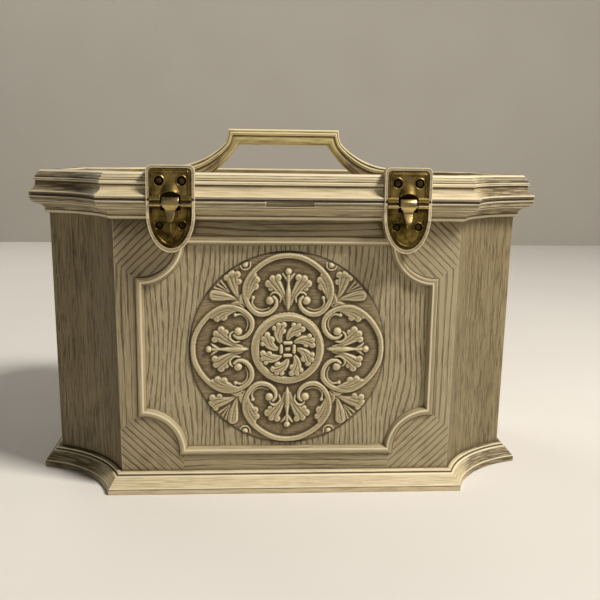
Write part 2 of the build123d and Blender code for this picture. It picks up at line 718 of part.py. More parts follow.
hinge_seat = Pos(-HINGE_X, HINGE_AXIS_DISTANCE, HINGE_AXIS_Z)
save_pair(hinge_seat * leaf_part(1), "hinge_leaf_upper")
save_pair(hinge_seat * leaf_part(-1), "hinge_leaf_lower")

with BuildPart() as hinge_pin:
    with Locations(Rot(0, 90, 0)):
        Cylinder(HINGE_PIN_RADIUS, 2 * HINGE_HALF_WIDTH)

save_pair(hinge_seat * hinge_pin.part, "hinge_pin")

# Wood-screw blank with a pan head, shank along -Z from the head's seat at the origin
with BuildPart() as screw:
    Cylinder(SCREW_HEAD, 1.5, align=(Align.CENTER, Align.CENTER, Align.MIN))
    Cylinder(SCREW_SHANK, SCREW_LENGTH - 0.3, align=(Align.CENTER, Align.CENTER, Align.MAX))
    chamfer(screw.edges().filter_by(GeomType.CIRCLE).group_by(Axis.Z)[-1], 0.7)

leaf_face = PAD_DISTANCE + SHEET
for height, name in ((9.5, "hinge_screw_upper"), (-9.5, "hinge_screw_lower")):
    for shift, place in ((-9, "outer"), (9, "inner")):
        seat = Pos(-HINGE_X + shift, leaf_face, HINGE_AXIS_Z + height) * Rot(-90, 0, 0)
        save_pair(seat * screw.part, f"{name}_{place}")

# Bracket: block standing in the lid's recess that carries one end of the handle
with BuildPart() as handle_bracket:
    bracket_middle = -(BRACKET_START_X + BRACKET_END_X) / 2
    with Locations((bracket_middle, 0, LID_FLOOR)):
        Box(
            BRACKET_END_X - BRACKET_START_X,
            2 * BRACKET_HALF_DEPTH,
            BRACKET_TOP - LID_FLOOR,
            align=(Align.CENTER, Align.CENTER, Align.MIN),
        )
    chamfer(handle_bracket.faces().sort_by(Axis.Z)[-1].edges(), 1.2)
    with Locations(Pos(-BRACKET_START_X + 1, 0, HANDLE_AXIS_Z) * Rot(0, -90, 0)):
        Cylinder(
            HANDLE_PIN_RADIUS + 0.02,
            BRACKET_BORE_DEPTH + 1,
            align=(Align.CENTER, Align.CENTER, Align.MIN),
            mode=Mode.SUBTRACT,
        )
    with Locations(
        (-(BRACKET_START_X + BRACKET_SCREW_INSET), 0, LID_FLOOR),
        (-(BRACKET_END_X - BRACKET_SCREW_INSET), 0, LID_FLOOR),
    ):
        Cylinder(
            SCREW_SHANK + 0.03,
            BRACKET_SCREW_DEPTH + 0.3,
            align=(Align.CENTER, Align.CENTER, Align.MIN),
            mode=Mode.SUBTRACT,
        )

save_pair(handle_bracket.part, "handle_bracket")

with BuildPart() as bracket_screw:
    Cylinder(SCREW_HEAD, 1.5, align=(Align.CENTER, Align.CENTER, Align.MAX))
    Cylinder(
        SCREW_SHANK, LID_SKIN + BRACKET_SCREW_DEPTH, align=(Align.CENTER, Align.CENTER, Align.MIN)
    )
    chamfer(bracket_screw.edges().filter_by(GeomType.CIRCLE).group_by(Axis.Z)[0], 0.7)

under_skin = LID_FLOOR - LID_SKIN
inner_screw_x = BRACKET_START_X + BRACKET_SCREW_INSET
outer_screw_x = BRACKET_END_X - BRACKET_SCREW_INSET
save_pair(Pos(-inner_screw_x, 0, under_skin) * bracket_screw.part, "bracket_screw_inner")
save_pair(Pos(-outer_screw_x, 0, under_skin) * bracket_screw.part, "bracket_screw_outer")

with BuildPart() as handle_pin:
    pin_start = HANDLE_END_X - HANDLE_PIN_GRIP + 0.5
    pin_end = BRACKET_START_X + BRACKET_BORE_DEPTH - 0.5
    with Locations(Pos(-pin_start, 0, HANDLE_AXIS_Z) * Rot(0, -90, 0)):
        Cylinder(HANDLE_PIN_RADIUS, pin_end - pin_start, align=(Align.CENTER, Align.CENTER, Align.MIN))

save_pair(handle_pin.part, "handle_pin")


# Handle: straight bar on two arms that sweep out to the brackets
def handle_outline(inner_radius, underside):
    """Front outline of the handle, or of its outer band, on the mid plane."""
    top_z = HANDLE_TOP - BAR_STEP
    bar_end = ARM_CENTRE_X - math.sqrt(ARM_OUTER_RADIUS**2 - (ARM_CENTRE_Z - top_z) ** 2)
    under_x = ARM_CENTRE_X - math.sqrt(inner_radius**2 - (ARM_CENTRE_Z - underside) ** 2)
    outer_start = math.degrees(math.atan2(top_z - ARM_CENTRE_Z, bar_end - ARM_CENTRE_X))
    inner_end = math.degrees(math.atan2(underside - ARM_CENTRE_Z, under_x - ARM_CENTRE_X))
    outer_mid = math.radians((outer_start - 90) / 2)
    inner_mid = math.radians((inner_end - 90) / 2)
    outer_z = ARM_CENTRE_Z - ARM_OUTER_RADIUS
    inner_z = ARM_CENTRE_Z - inner_radius
    outer_point = (
        ARM_CENTRE_X + ARM_OUTER_RADIUS * math.cos(outer_mid),
        ARM_CENTRE_Z + ARM_OUTER_RADIUS * math.sin(outer_mid),
    )
    inner_point = (
        ARM_CENTRE_X + inner_radius * math.cos(inner_mid),
        ARM_CENTRE_Z + inner_radius * math.sin(inner_mid),
    )
    with BuildSketch(Plane.XZ) as outline:
        with BuildLine():
            Line((0, HANDLE_TOP), (bar_end, HANDLE_TOP))
            Line((bar_end, HANDLE_TOP), (bar_end, top_z))
            ThreePointArc((bar_end, top_z), outer_point, (ARM_CENTRE_X, outer_z))
            Line((ARM_CENTRE_X, outer_z), (HANDLE_END_X, outer_z))
            Line((HANDLE_END_X, outer_z), (HANDLE_END_X, inner_z))
            Line((HANDLE_END_X, inner_z), (ARM_CENTRE_X, inner_z))
            ThreePointArc((ARM_CENTRE_X, inner_z), inner_point, (under_x, underside))
            Line((under_x, underside), (0, underside))
            Line((0, underside), (0, HANDLE_TOP))
        make_face()
        mirror(about=Plane.YZ)
    return outline.sketch.face()


with BuildPart() as handle:
    extrude(handle_outline(ARM_INNER_RADIUS, BAR_UNDERSIDE), amount=HANDLE_HALF_DEPTH, both=True)
    extrude(
        handle_outline(ARM_BAND_RADIUS, HANDLE_TOP - BAND_HEIGHT),
        amount=HANDLE_BAND_HALF_DEPTH,
        both=True,
    )
    for side in (-1, 1):
        bore_start = side * (HANDLE_END_X - HANDLE_BORE_DEPTH)
        with Locations(Pos(bore_start, 0, HANDLE_AXIS_Z) * Rot(0, side * 90, 0)):
            Cylinder(
                HANDLE_PIN_RADIUS + HANDLE_RUNNING_FIT,
                HANDLE_BORE_DEPTH + 1,
                align=(Align.CENTER, Align.CENTER, Align.MIN),
                mode=Mode.SUBTRACT,
            )

save(handle.part, "handle")

# Tray: shallow pan with a finger notch in each end
tray_top = TRAY_BOTTOM + TRAY_HEIGHT
pan_floor = TRAY_BOTTOM + TRAY_SHEET
inside = TRAY_OUTER - TRAY_SHEET
with BuildPart() as tray:
    loft([plan_face(TRAY_OUTER, TRAY_BOTTOM), plan_face(TRAY_OUTER, tray_top)], ruled=True)
    loft([plan_face(inside, pan_floor), plan_face(inside, tray_top + 1)], ruled=True, mode=Mode.SUBTRACT)
    with Locations(Pos(0, 0, tray_top + NOTCH_LIFT) * Rot(0, 90, 0)):
        Cylinder(NOTCH_RADIUS, 2.2 * WALL_HALF_WIDTH, mode=Mode.SUBTRACT)

save(tray.part, "tray")

# Dividers stand on the pan's floor and meet its leaning walls
divider_top = pan_floor + DIVIDER_HEIGHT
foot_y = WALL_HALF_DEPTH + WALL_LEAN * pan_floor + inside
head_y = WALL_HALF_DEPTH + WALL_LEAN * divider_top + inside
foot_x = WALL_HALF_WIDTH + WALL_LEAN * pan_floor + inside
with BuildPart() as tray_divider:
    with BuildSketch(Plane.YZ.offset(-DIVIDER_X - TRAY_SHEET / 2)):
        with BuildLine():
            Polyline(
                (-foot_y, pan_floor),
                (foot_y, pan_floor),
                (head_y, divider_top),
                (-head_y, divider_top),
                close=True,
            )
        make_face()
    extrude(amount=TRAY_SHEET)

save_pair(tray_divider.part, "tray_divider")

# The left end is halved; the divider's end drops below the finger notch
with BuildPart() as tray_divider_end:
    with BuildSketch(Plane.XZ.offset(-TRAY_SHEET / 2)):
        with BuildLine():
            Polyline(
                (-foot_x, pan_floor),
                (-foot_x - WALL_LEAN * DIVIDER_END_HEIGHT, pan_floor + DIVIDER_END_HEIGHT),
                (-foot_x + DIVIDER_END_RUN, divider_top),
                (-DIVIDER_X - TRAY_SHEET / 2, divider_top),
                (-DIVIDER_X - TRAY_SHEET / 2, pan_floor),
                close=True,
            )
        make_face()
    extrude(amount=TRAY_SHEET)

save(tray_divider_end.part, "tray_divider_end")

with BuildPart() as tray_divider_back:
    with Locations((0, BACK_WELL_Y, pan_floor)):
        Box(
            2 * DIVIDER_X - TRAY_SHEET,
            TRAY_SHEET,
            DIVIDER_HEIGHT,
            align=(Align.CENTER, Align.CENTER, Align.MIN),
        )

save(tray_divider_back.part, "tray_divider_back")

# Nine tapered pegs for thread spools on the floor of the right end
peg_middle_x = (DIVIDER_X + WALL_HALF_WIDTH + WALL_LEAN * TRAY_BOTTOM + TRAY_OUTER) / 2 - SPOOL_SHIFT
with BuildPart() as spool_peg:
    Cone(SPOOL_PEG_FOOT, SPOOL_PEG_TIP, SPOOL_PEG_HEIGHT, align=(Align.CENTER, Align.CENTER, Align.MIN))
    chamfer(spool_peg.edges().filter_by(GeomType.CIRCLE).group_by(Axis.Z)[-1], 0.7)

peg_number = 0
for column in (-1, 0, 1):
    for row in (-1, 0, 1):
        peg_number += 1
        place = Pos(peg_middle_x + column * SPOOL_STEP_X, row * SPOOL_STEP_Y, pan_floor)
        save(place * spool_peg.part, f"spool_peg_{peg_number}")
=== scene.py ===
"""Looks of a sewing box with scooped corners: carved-look moulding, aged brass latches, bail handle.

Millimetres in the classes, metres in every mesh. X runs across the front, -Y faces the user and +Z
is up, as in the CAD model.
"""

import logging
import math
from collections.abc import Callable
from dataclasses import dataclass
from enum import Enum

import bmesh
import bpy
import numpy as np
from mathutils import Matrix, Vector


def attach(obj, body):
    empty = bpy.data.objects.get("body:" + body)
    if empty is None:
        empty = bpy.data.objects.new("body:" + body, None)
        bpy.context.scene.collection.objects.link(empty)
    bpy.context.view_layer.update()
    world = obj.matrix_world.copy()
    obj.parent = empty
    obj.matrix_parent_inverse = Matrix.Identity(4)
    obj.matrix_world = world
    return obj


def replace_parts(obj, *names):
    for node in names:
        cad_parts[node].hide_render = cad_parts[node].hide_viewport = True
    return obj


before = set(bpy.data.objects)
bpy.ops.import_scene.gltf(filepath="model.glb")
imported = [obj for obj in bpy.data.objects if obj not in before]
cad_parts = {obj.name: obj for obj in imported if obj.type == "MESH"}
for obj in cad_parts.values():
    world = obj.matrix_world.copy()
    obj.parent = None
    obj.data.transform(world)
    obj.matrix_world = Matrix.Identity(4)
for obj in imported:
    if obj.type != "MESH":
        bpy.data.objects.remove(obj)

LOG = logging.getLogger("sewing_box")
MM = 0.001
SMOOTH = {"interpolation_type": "SMOOTHSTEP"}
QUARTERS = (0, 90, 180, 270)
SCOOP_STEPS = 16
SEAM_Z = 198.5
LID_BOTTOM = 198.8
LATCH_X = 75.8
PAD_HALF_WIDTH = 15.3
PANEL_HALF_WIDTH = 98.0
PANEL_HALF_HEIGHT = 72.5
PANEL_MIDDLE_Z = 99.4
MEDALLION_Z = 98.3
MEDALLION_GROOVE = 66.75

Tree = bpy.types.NodeTree
Socket = bpy.types.NodeSocket
Material = bpy.types.Material
Mesh = bmesh.types.BMesh
Marks = list[tuple[float, ...]]
Section = tuple[tuple, ...]


class Grain(Enum):
    """How the wood grain moulded into a surface runs."""

    WALL = "fine upright grain of the walls and scooped corners"
    FIELD = "wide wavy upright grain of the sunken field"
    FRAME = "level on the rails, upright on the stiles, slanting in the corners"
    MOULDING = "faint level streaks along a moulding"
    CARVED = "relief with its own hollow and crest attributes"
    SWEPT = "streaks along a swept piece, with hollow and crest attributes"
    TOP = "faint streaks from side to side on a level surface"
    PLAIN = "no grain"


class Side(Enum):
    """Which of the two latches or brackets a piece belongs to."""

    LEFT = -1
    RIGHT = 1

    @property
    def word(self) -> str:
        """Name of the side as the CAD nodes spell it."""
        return self.name.lower()


def linear(colour: str) -> tuple[float, float, float, float]:
    """Turn an sRGB hex colour into linear RGBA.

    Args:
        colour: six hex digits after a hash sign.

    Returns:
        Linear red, green, blue and an alpha of one.
    """
    parts = [int(colour[i : i + 2], 16) / 255 for i in (1, 3, 5)]
    red, green, blue = (p / 12.92 if p <= 0.04045 else ((p + 0.055) / 1.055) ** 2.4 for p in parts)
    return red, green, blue, 1.0


def add(
    tree: Tree, kind: str, inputs: list | tuple | dict = (), out: int | str = 0, **settings: object
) -> Socket:
    """Add one node with its settings, input values and links.

    Args:
        tree: node tree that gets the node.
        kind: type name of the node without its ShaderNode, then its operation where it has one.
        inputs: sockets, values or hex colours, as a list in order or by the input's name or index.
        out: name or index of the output that is wanted.
        settings: other attributes of the node.

    Returns:
        The wanted output.
    """
    kind, _, operation = kind.partition(" ")
    node = tree.nodes.new("ShaderNode" + kind)
    if operation:
        node.operation = operation
    for name, value in settings.items():
        setattr(node, name, value)
    for key, value in inputs.items() if isinstance(inputs, dict) else enumerate(inputs):
        if isinstance(value, Socket):
            tree.links.new(value, node.inputs[key])
        else:
            node.inputs[key].default_value = linear(value) if isinstance(value, str) else value
    return node.outputs[out]


def surface(name: str, metallic: float = 0.0) -> tuple[Material, Tree, Socket]:
    """Start a node material.

    Args:
        name: name of the material.
        metallic: one for bare metal.

    Returns:
        The material, its tree and its object coordinates in millimetres.
    """
    mat = bpy.data.materials.new(name)
    mat.use_nodes = True
    tree = mat.node_tree
    tree.nodes["Principled BSDF"].inputs["Metallic"].default_value = metallic
    place = add(tree, "TexCoord", out="Object")
    return mat, tree, add(tree, "VectorMath SCALE", {0: place, "Scale": 1 / MM})


def plug(
    mat: Material, share: Socket, pair: tuple, rough: Socket, height: Socket | None = None, deep: float = 0.0
) -> None:
    """Link the last colour mix, the roughness and a bump to a material's shader.

    Args:
        mat: the material.
        share: how much of the second colour shows.
        pair: two colours, each a socket or sRGB hex.
        rough: the roughness.
        height: the bump, or nothing for a flat surface.
        deep: depth in metres where the bump is one.
    """
    tree = mat.node_tree
    shader = tree.nodes["Principled BSDF"].inputs
    colour = add(tree, "Mix", {0: share, 6: pair[0], 7: pair[1]}, 2, data_type="RGBA", clamp_factor=True)
    tree.links.new(colour, shader["Base Color"])
    tree.links.new(rough, shader["Roughness"])
    if height:
        tree.links.new(add(tree, "Bump", {"Height": height, "Distance": deep, "Strength": 1.0}), shader["Normal"])


def worn_edge(tree: Tree, radius: float, start: float, full: float, most: float) -> Socket:
    """Find edges that hands or cloths reach, where a rounded normal leaves the true one.

    Args:
        tree: the material's tree.
        radius: reach of the wear in metres.
        start: agreement of the two normals where the wear starts.
        full: agreement where it is full.
        most: the full wear.

    Returns:
        Socket of the wear.
    """
    soft = add(tree, "Bevel", {"Radius": radius}, samples=6)
    match = add(tree, "VectorMath DOT_PRODUCT", [soft, add(tree, "NewGeometry", out="Normal")], "Value")
    return add(tree, "MapRange", [match, start, full, 0.0, most])


@dataclass(frozen=True)
class GlazedMoulding:
    """High-impact polystyrene, injection-moulded with wood grain, painted and wiped with glaze.

    The paint is an antique cream. A thin olive-brown glaze is brushed over it and wiped off, so it
    stays in grooves and inner corners, and the rubbed outer edges come up pale. Pieces that were
    wiped less towards their ends get more of it from ends_from to ends_to, off the middle. The same
    mix also paints shade under the cornice, on the left stile, in the joint, under the lid's lip and in
    the thumb recess, and a highlight on the recess's left wall.
    """

    name: str
    grain: Grain
    pitch_mm: float
    groove_mm: float
    glaze_in_grooves: float
    glaze_all_over: float
    paint: str = "#decca4"
    glaze: str = "#5d4d31"
    rubbed: str = "#f3e8c6"
    dirt: str = "#2e2416"
    glaze_at_ends: float = 0.0
    ends_from: float = 122.0
    ends_to: float = 138.0
    rubbed_edges: float = 0.5
    roughness: float = 0.5

    @property
    def marked(self) -> bool:
        """Whether the pieces of this finish have hollow and crest attributes."""
        return self.grain in (Grain.CARVED, Grain.SWEPT)

    def material(self) -> Material:
        """Build the node material.

        Returns:
            The material, reading Object coordinates and, on carved pieces, two attributes.
        """
        mat, tree, point = surface(self.name)
        run = self._run(tree, point)
        groove = self._groove(tree, run)
        nook = add(tree, "AmbientOcclusion", {"Distance": 0.005}, "AO", samples=8, only_local=True)
        # Fine brush marks of the glaze, about 0.9 mm apart
        along = self._along(tree, run, 0.06)
        brush = add(tree, "TexNoise", {"Vector": along, "Scale": 1 / 0.9, "Detail": 2.0, "Roughness": 0.6})
        amount = self._glaze(tree, point, groove, nook, brush)
        tint = add(tree, "Mix", {0: amount, 6: self.paint, 7: self.glaze}, 2, data_type="RGBA")
        deep = self._deep(tree, point)

        # Outer edges rubbed pale over about 0.8 mm, but not where the dirt and painted shade of the joint sit
        open_side = add(tree, "MapRange", [nook, 0.8, 0.97])
        rub_and_highlight = add(tree, "Math MULTIPLY", [worn_edge(tree, 0.0008, 0.995, 0.9, 1.0), open_side])
        rub_and_highlight = add(tree, "Math MULTIPLY", [rub_and_highlight, self.rubbed_edges])
        # Dark dirt, and painted shade in the joint and at the top of the thumb recess
        if deep:
            tint = add(tree, "Mix", {0: deep, 6: tint, 7: self.dirt}, 2, data_type="RGBA")
            rub_and_highlight = add(tree, "Math MULTIPLY", [rub_and_highlight, add(tree, "Math SUBTRACT", [1.0, deep])])
        # Crests are rubbed pale; on the left wall of the thumb recess the crest is a painted highlight
        if self.marked:
            crest = add(tree, "Attribute", out="Fac", attribute_name="crest")
            rub_and_highlight = add(tree, "Math MULTIPLY_ADD", [crest, 0.75, rub_and_highlight])

        # Paint is satin, the glaze film over it is duller; the paint itself lies a little uneven
        sheen = add(tree, "MapRange", [amount, 0.0, 1.0, self.roughness, min(1.0, self.roughness + 0.22)])
        fine = add(tree, "TexNoise", {"Vector": point, "Scale": 1 / 1.1, "Detail": 2.0})
        depth = add(tree, "Math MULTIPLY", [groove, -self.groove_mm])
        depth = add(tree, "Math MULTIPLY_ADD", [fine, 0.035, depth])
        plug(mat, rub_and_highlight, (tint, self.rubbed), sheen, depth, MM)
        return mat

    def _glaze(self, tree: Tree, point: Socket, groove: Socket, nook: Socket, brush: Socket) -> Socket:
        """Say how much glaze stays where, and add the painted shade on the frame,
        under the lid's lip, in the joint and in the thumb recess.

        Args:
            tree: the material's tree.
            point: object coordinates in millimetres.
            groove: the grain lines.
            nook: one in the open, less in inner corners.
            brush: the brush marks.

        Returns:
            Socket from zero to one.
        """
        # Wiping leaves soft clouds of glaze a few centimetres across
        cloud = add(tree, "TexNoise", {"Vector": point, "Scale": 1 / 38.0, "Detail": 3.0, "Roughness": 0.62})
        cloudy = add(tree, "MapRange", [cloud, 0.36, 0.68, 0.35, 1.0], **SMOOTH)
        brushed = add(tree, "MapRange", [brush, 0.35, 0.75])
        film = add(tree, "Math MULTIPLY", [cloudy, brushed])
        film = add(tree, "Math MULTIPLY", [film, self.glaze_all_over * 2.2])
        stay = add(tree, "Math MULTIPLY_ADD", [groove, self.glaze_in_grooves, film])
        hidden = add(tree, "MapRange", [nook, 0.92, 0.35], **SMOOTH)
        amount = add(tree, "Math MULTIPLY_ADD", [hidden, 0.8, stay], use_clamp=True)
        if self.grain is Grain.FRAME:
            # Painted shade: darker under the cornice, where its shadow falls, and darker towards the left stile, away
            # from the light
            apart = add(tree, "SeparateXYZ", [point]).node.outputs
            under = add(tree, "MapRange", [apart[2], 174.0, 184.0, 0.0, 0.5])
            stile = add(tree, "MapRange", [apart[0], -130.0, 130.0, 0.24, -0.12])
            more = add(tree, "Math ADD", [under, stile])
            amount = add(tree, "Math ADD", [amount, more], use_clamp=True)
        if self.glaze_at_ends:
            # The hollow corners of lid and plinth and the arms of the handle were wiped less
            far = add(tree, "SeparateXYZ", [add(tree, "VectorMath ABSOLUTE", [point])])
            end = add(tree, "MapRange", [far, self.ends_from, self.ends_to, 0.0, self.glaze_at_ends])
            stain = add(tree, "MapRange", [brush, 0.25, 0.6, 0.35, 1.0])
            amount = add(tree, "Math MULTIPLY_ADD", [end, stain, amount], use_clamp=True)
        if self.marked:
            # Hollow marks bring glaze into grooves, and paint shade under the lid's lip, in the joint and in the
            # thumb recess
            hollow = add(tree, "Attribute", out="Fac", attribute_name="hollow")
            amount = add(tree, "Math MULTIPLY_ADD", [hollow, 0.85, amount], use_clamp=True)
        return amount

    def _deep(self, tree: Tree, point: Socket) -> Socket | None:
        """Say where the dark dirt colour goes: deep grooves, the ring round the medallion, and the joint of
        lid and case, where it is dirt and painted shade of the gap; it also paints the shadow of the lid's
        lip at the top of the thumb recess.

        Args:
            tree: the material's tree.
            point: object coordinates in millimetres.

        Returns:
            Socket from zero to one, or nothing for a finish without such places.
        """
        if self.marked:
            hollow = add(tree, "Attribute", out="Fac", attribute_name="hollow")
            return add(tree, "MapRange", [hollow, 1.05, 1.6])
        if self.grain is Grain.MOULDING:
            # Dirt and painted shade of the gap along the joint of lid and case
            height = add(tree, "SeparateXYZ", [point], 2)
            off = add(tree, "Math SUBTRACT", [height, (SEAM_Z + LID_BOTTOM) / 2])
            return add(tree, "MapRange", [add(tree, "Math ABSOLUTE", [off]), 0.95, 0.7])
        if self.grain is Grain.FIELD:
            flat = add(tree, "VectorMath MULTIPLY", [point, (1.0, 0.0, 1.0)])
            away = add(tree, "VectorMath DISTANCE", [flat, (0.0, 0.0, MEDALLION_Z)], "Value")
            off = add(tree, "Math SUBTRACT", [away, MEDALLION_GROOVE])
            return add(tree, "MapRange", [add(tree, "Math ABSOLUTE", [off]), 0.75, 0.25, 0.0, 0.4])
        return None

    def _run(self, tree: Tree, point: Socket) -> Socket:
        """Coordinates that lie across the grain in X and along it in Y, in millimetres.

        Args:
            tree: the material's tree.
            point: object coordinates in millimetres.

        Returns:
            Socket of the grain's own coordinates.
        """
        if self.grain is Grain.PLAIN:
            return point
        if self.grain is Grain.SWEPT:
            around, run = (add(tree, "Attribute", out="Fac", attribute_name=name) for name in ("around", "run"))
            return add(tree, "CombineXYZ", [around, run])
        x, y, z = add(tree, "SeparateXYZ", [point]).node.outputs
        if self.grain is Grain.TOP:
            return add(tree, "CombineXYZ", [y, x])
        if self.grain in (Grain.MOULDING, Grain.CARVED):
            return add(tree, "CombineXYZ", [z, add(tree, "Math ADD", [x, y])])
        if self.grain is Grain.FRAME:
            return self._run_on_frame(tree, point)
        # Sizes of X and Y differ steadily along each wall and scoop; a little X tells left from right
        size = add(tree, "VectorMath ABSOLUTE", [point])
        far_x, far_y, _ = add(tree, "SeparateXYZ", [size]).node.outputs
        across = x if self.grain is Grain.FIELD else add(tree, "Math SUBTRACT", [far_x, far_y])
        return add(tree, "CombineXYZ", [across, z, add(tree, "Math MULTIPLY", [x, 0.01])])

    def _run_on_frame(self, tree: Tree, point: Socket) -> Socket:
        """Coordinates of the grain on rails, stiles and corner blocks.

        Args:
            tree: the material's tree.
            point: object coordinates in millimetres.

        Returns:
            Socket of coordinates across and along the grain.
        """
        centred = add(tree, "VectorMath ADD", [point, (0.0, 0.0, -PANEL_MIDDLE_Z)])
        x, _, z = add(tree, "SeparateXYZ", [centred]).node.outputs
        size = add(tree, "VectorMath ABSOLUTE", [centred])
        far_x, _, far_z = add(tree, "SeparateXYZ", [size]).node.outputs
        level = add(tree, "CombineXYZ", [z, x])
        upright = add(tree, "CombineXYZ", [x, z])
        # The distance across the slanting lines is about 0.7 of the sum
        spread = add(tree, "Math MULTIPLY", [add(tree, "Math ADD", [far_x, far_z]), 0.72])
        corner = add(tree, "CombineXYZ", [spread, add(tree, "Math SUBTRACT", [far_x, far_z])])
        # The corner blocks lie beside and above a line that leans, where their grain bends into the stile
        beside = add(tree, "Math GREATER_THAN", [far_x, 70.5])
        steep = add(tree, "Math MULTIPLY_ADD", [far_x, 0.8, -33.4])
        both = add(tree, "Math MULTIPLY", [beside, add(tree, "Math GREATER_THAN", [far_z, steep])])
        first = add(tree, "Mix", {0: beside, 4: level, 5: upright}, 1, data_type="VECTOR")
        return add(tree, "Mix", {0: both, 4: first, 5: corner}, 1, data_type="VECTOR")

    def _along(self, tree: Tree, run: Socket, stretch: float) -> Socket:
        """Squeeze the grain's coordinates, so that a noise draws out into streaks.

        Args:
            tree: the material's tree.
            run: coordinates across and along the grain.
            stretch: factor on the coordinate that runs with the grain.

        Returns:
            Socket of the squeezed coordinates.
        """
        return add(tree, "VectorMath MULTIPLY", [run, (1.0, 1.0 if self.grain is Grain.PLAIN else stretch, 1.0)])

    def _groove(self, tree: Tree, run: Socket) -> Socket:
        """Draw the grain lines.

        Args:
            tree: the material's tree.
            run: coordinates across and along the grain.

        Returns:
            Socket that is one in the middle of a groove and zero between grooves.
        """
        if self.grain in (Grain.FIELD, Grain.FRAME):
            return self._lines(tree, run)
        stretch = {Grain.WALL: 0.075, Grain.CARVED: 0.2, Grain.SWEPT: 0.04}.get(self.grain, 0.03)
        low = 0.5 if self.grain is Grain.WALL else 0.46
        along = self._along(tree, run, stretch)
        noise = add(tree, "TexNoise", {"Vector": along, "Scale": 1 / self.pitch_mm, "Detail": 2.0})
        line = add(tree, "MapRange", [noise, low, 0.62], **SMOOTH)
        if self.grain is not Grain.WALL:
            return line
        # Broad soft streaks under the pores
        along = self._along(tree, run, 0.012)
        broad = add(tree, "TexNoise", {"Vector": along, "Scale": 1 / (2.6 * self.pitch_mm), "Detail": 3.0})
        streak = add(tree, "MapRange", [broad, 0.4, 0.66, 0.0, 0.45])
        return add(tree, "Math MULTIPLY_ADD", [line, 0.75, streak])

    def _lines(self, tree: Tree, run: Socket) -> Socket:
        """Draw separate thin lines that wander a little and break into dashes, as on field and frame.

        Args:
            tree: the material's tree.
            run: coordinates across and along the grain.

        Returns:
            Socket that is one in a groove.
        """
        field = self.grain is Grain.FIELD
        turns = add(tree, "Math MULTIPLY", [add(tree, "SeparateXYZ", [run]), 1 / self.pitch_mm])
        # A slow sway, then a quick shake, both in turns of the wave
        for squeeze, detail, share in (
            ((0.022, 0.008, 0.0), 1.0, 8.0 if field else 2.0),
            ((0.12, 0.036 if field else 0.014, 0.0), 3.0, 0.42 if field else 0.8),
        ):
            place = add(tree, "VectorMath MULTIPLY", [run, squeeze])
            noise = add(tree, "TexNoise", {"Vector": place, "Scale": 1.0, "Detail": detail})
            turns = add(tree, "Math MULTIPLY_ADD", [noise, share, turns])
        wave = add(tree, "Math COSINE", [add(tree, "Math MULTIPLY", [turns, math.tau])])
        # Line width and darkness change along the line, down to gaps
        broken = add(tree, "VectorMath MULTIPLY", [run, (0.45, 0.09, 0.0) if field else (0.3, 0.012, 0.0)])
        gaps = add(tree, "TexNoise", {"Vector": broken, "Scale": 1.0, "Detail": 2.0})
        wide, narrow = (0.22, 0.96) if field else (0.2, 1.05)
        edge = add(tree, "MapRange", [gaps, 0.3, 0.68, narrow, wide])
        over = add(tree, "Math SUBTRACT", [wave, edge])
        line = add(tree, "MapRange", [over, -0.06, 0.34], **SMOOTH)
        # Fine pores between the lines
        pores = add(tree, "TexNoise", {"Vector": self._along(tree, run, 0.12), "Scale": 1 / 0.9, "Detail": 1.0})
        pored = add(tree, "MapRange", [pores, 0.52, 0.68, 0.0, 0.3 if field else 0.12])
        return add(tree, "Math MAXIMUM", [line, pored])


@dataclass(frozen=True)
class AgedBrass:
    """Pressed sheet brass, once lacquered, darkened by age and handling.

    Raised rolls and edges stay bright because fingers polish them; the flats and inner corners have
    a brown tarnish.
    """

    name: str
    bright: str = "#c4a964"
    tarnish: str = "#43341a"
    tarnish_share: float = 0.55
    roughness: float = 0.22

    def material(self) -> Material:
        """Build the node material.

        Returns:
            The metallic material.
        """
        mat, tree, point = surface(self.name, metallic=1.0)
        # Tarnish gathers in patches about 6 mm across
        patch = add(tree, "TexNoise", {"Vector": point, "Scale": 1 / 6.0, "Detail": 4.0, "Roughness": 0.6})
        patchy = add(tree, "MapRange", [patch, 0.35, 0.7, self.tarnish_share * 0.6, self.tarnish_share * 1.5])
        nook = add(tree, "AmbientOcclusion", {"Distance": 0.0022}, "AO", samples=8)
        hidden = add(tree, "MapRange", [nook, 0.95, 0.4])
        dull = add(tree, "Math ADD", [patchy, hidden], use_clamp=True)
        worn = add(tree, "Math SUBTRACT", [dull, worn_edge(tree, 0.0004, 0.99, 0.88, 0.95)], use_clamp=True)
        rough = add(tree, "MapRange", [worn, 0.0, 1.0, self.roughness, min(1.0, self.roughness + 0.3)])
        # Pressing marks and small dents, about 1.5 mm across and a few hundredths deep
        dents = add(tree, "TexNoise", {"Vector": point, "Scale": 1 / 1.5, "Detail": 2.0})
        plug(mat, worn, (self.bright, self.tarnish), rough, dents, 0.04 * MM)
        return mat


@dataclass(frozen=True)
class PlainSteel:
    """Drawn steel wire and cold-headed screws, zinc dulled to grey with a little rust in corners."""

    name: str
    metal: str = "#a7a39b"
    rust: str = "#6b4a30"
    roughness: float = 0.38

    def material(self) -> Material:
        """Build the node material.

        Returns:
            The metallic material.
        """
        mat, tree, point = surface(self.name, metallic=1.0)
        spots = add(tree, "TexNoise", {"Vector": point, "Scale": 1 / 1.2, "Detail": 3.0})
        nook = add(tree, "AmbientOcclusion", {"Distance": 0.0015}, "AO", samples=8)
        hidden = add(tree, "MapRange", [nook, 0.8, 0.2])
        rusty = add(tree, "Math MULTIPLY", [spots, hidden])
        rough = add(tree, "MapRange", [spots, 0.3, 0.7, self.roughness, self.roughness + 0.18])
        plug(mat, rusty, (self.metal, self.rust), rough, spots, 0.03 * MM)
        return mat


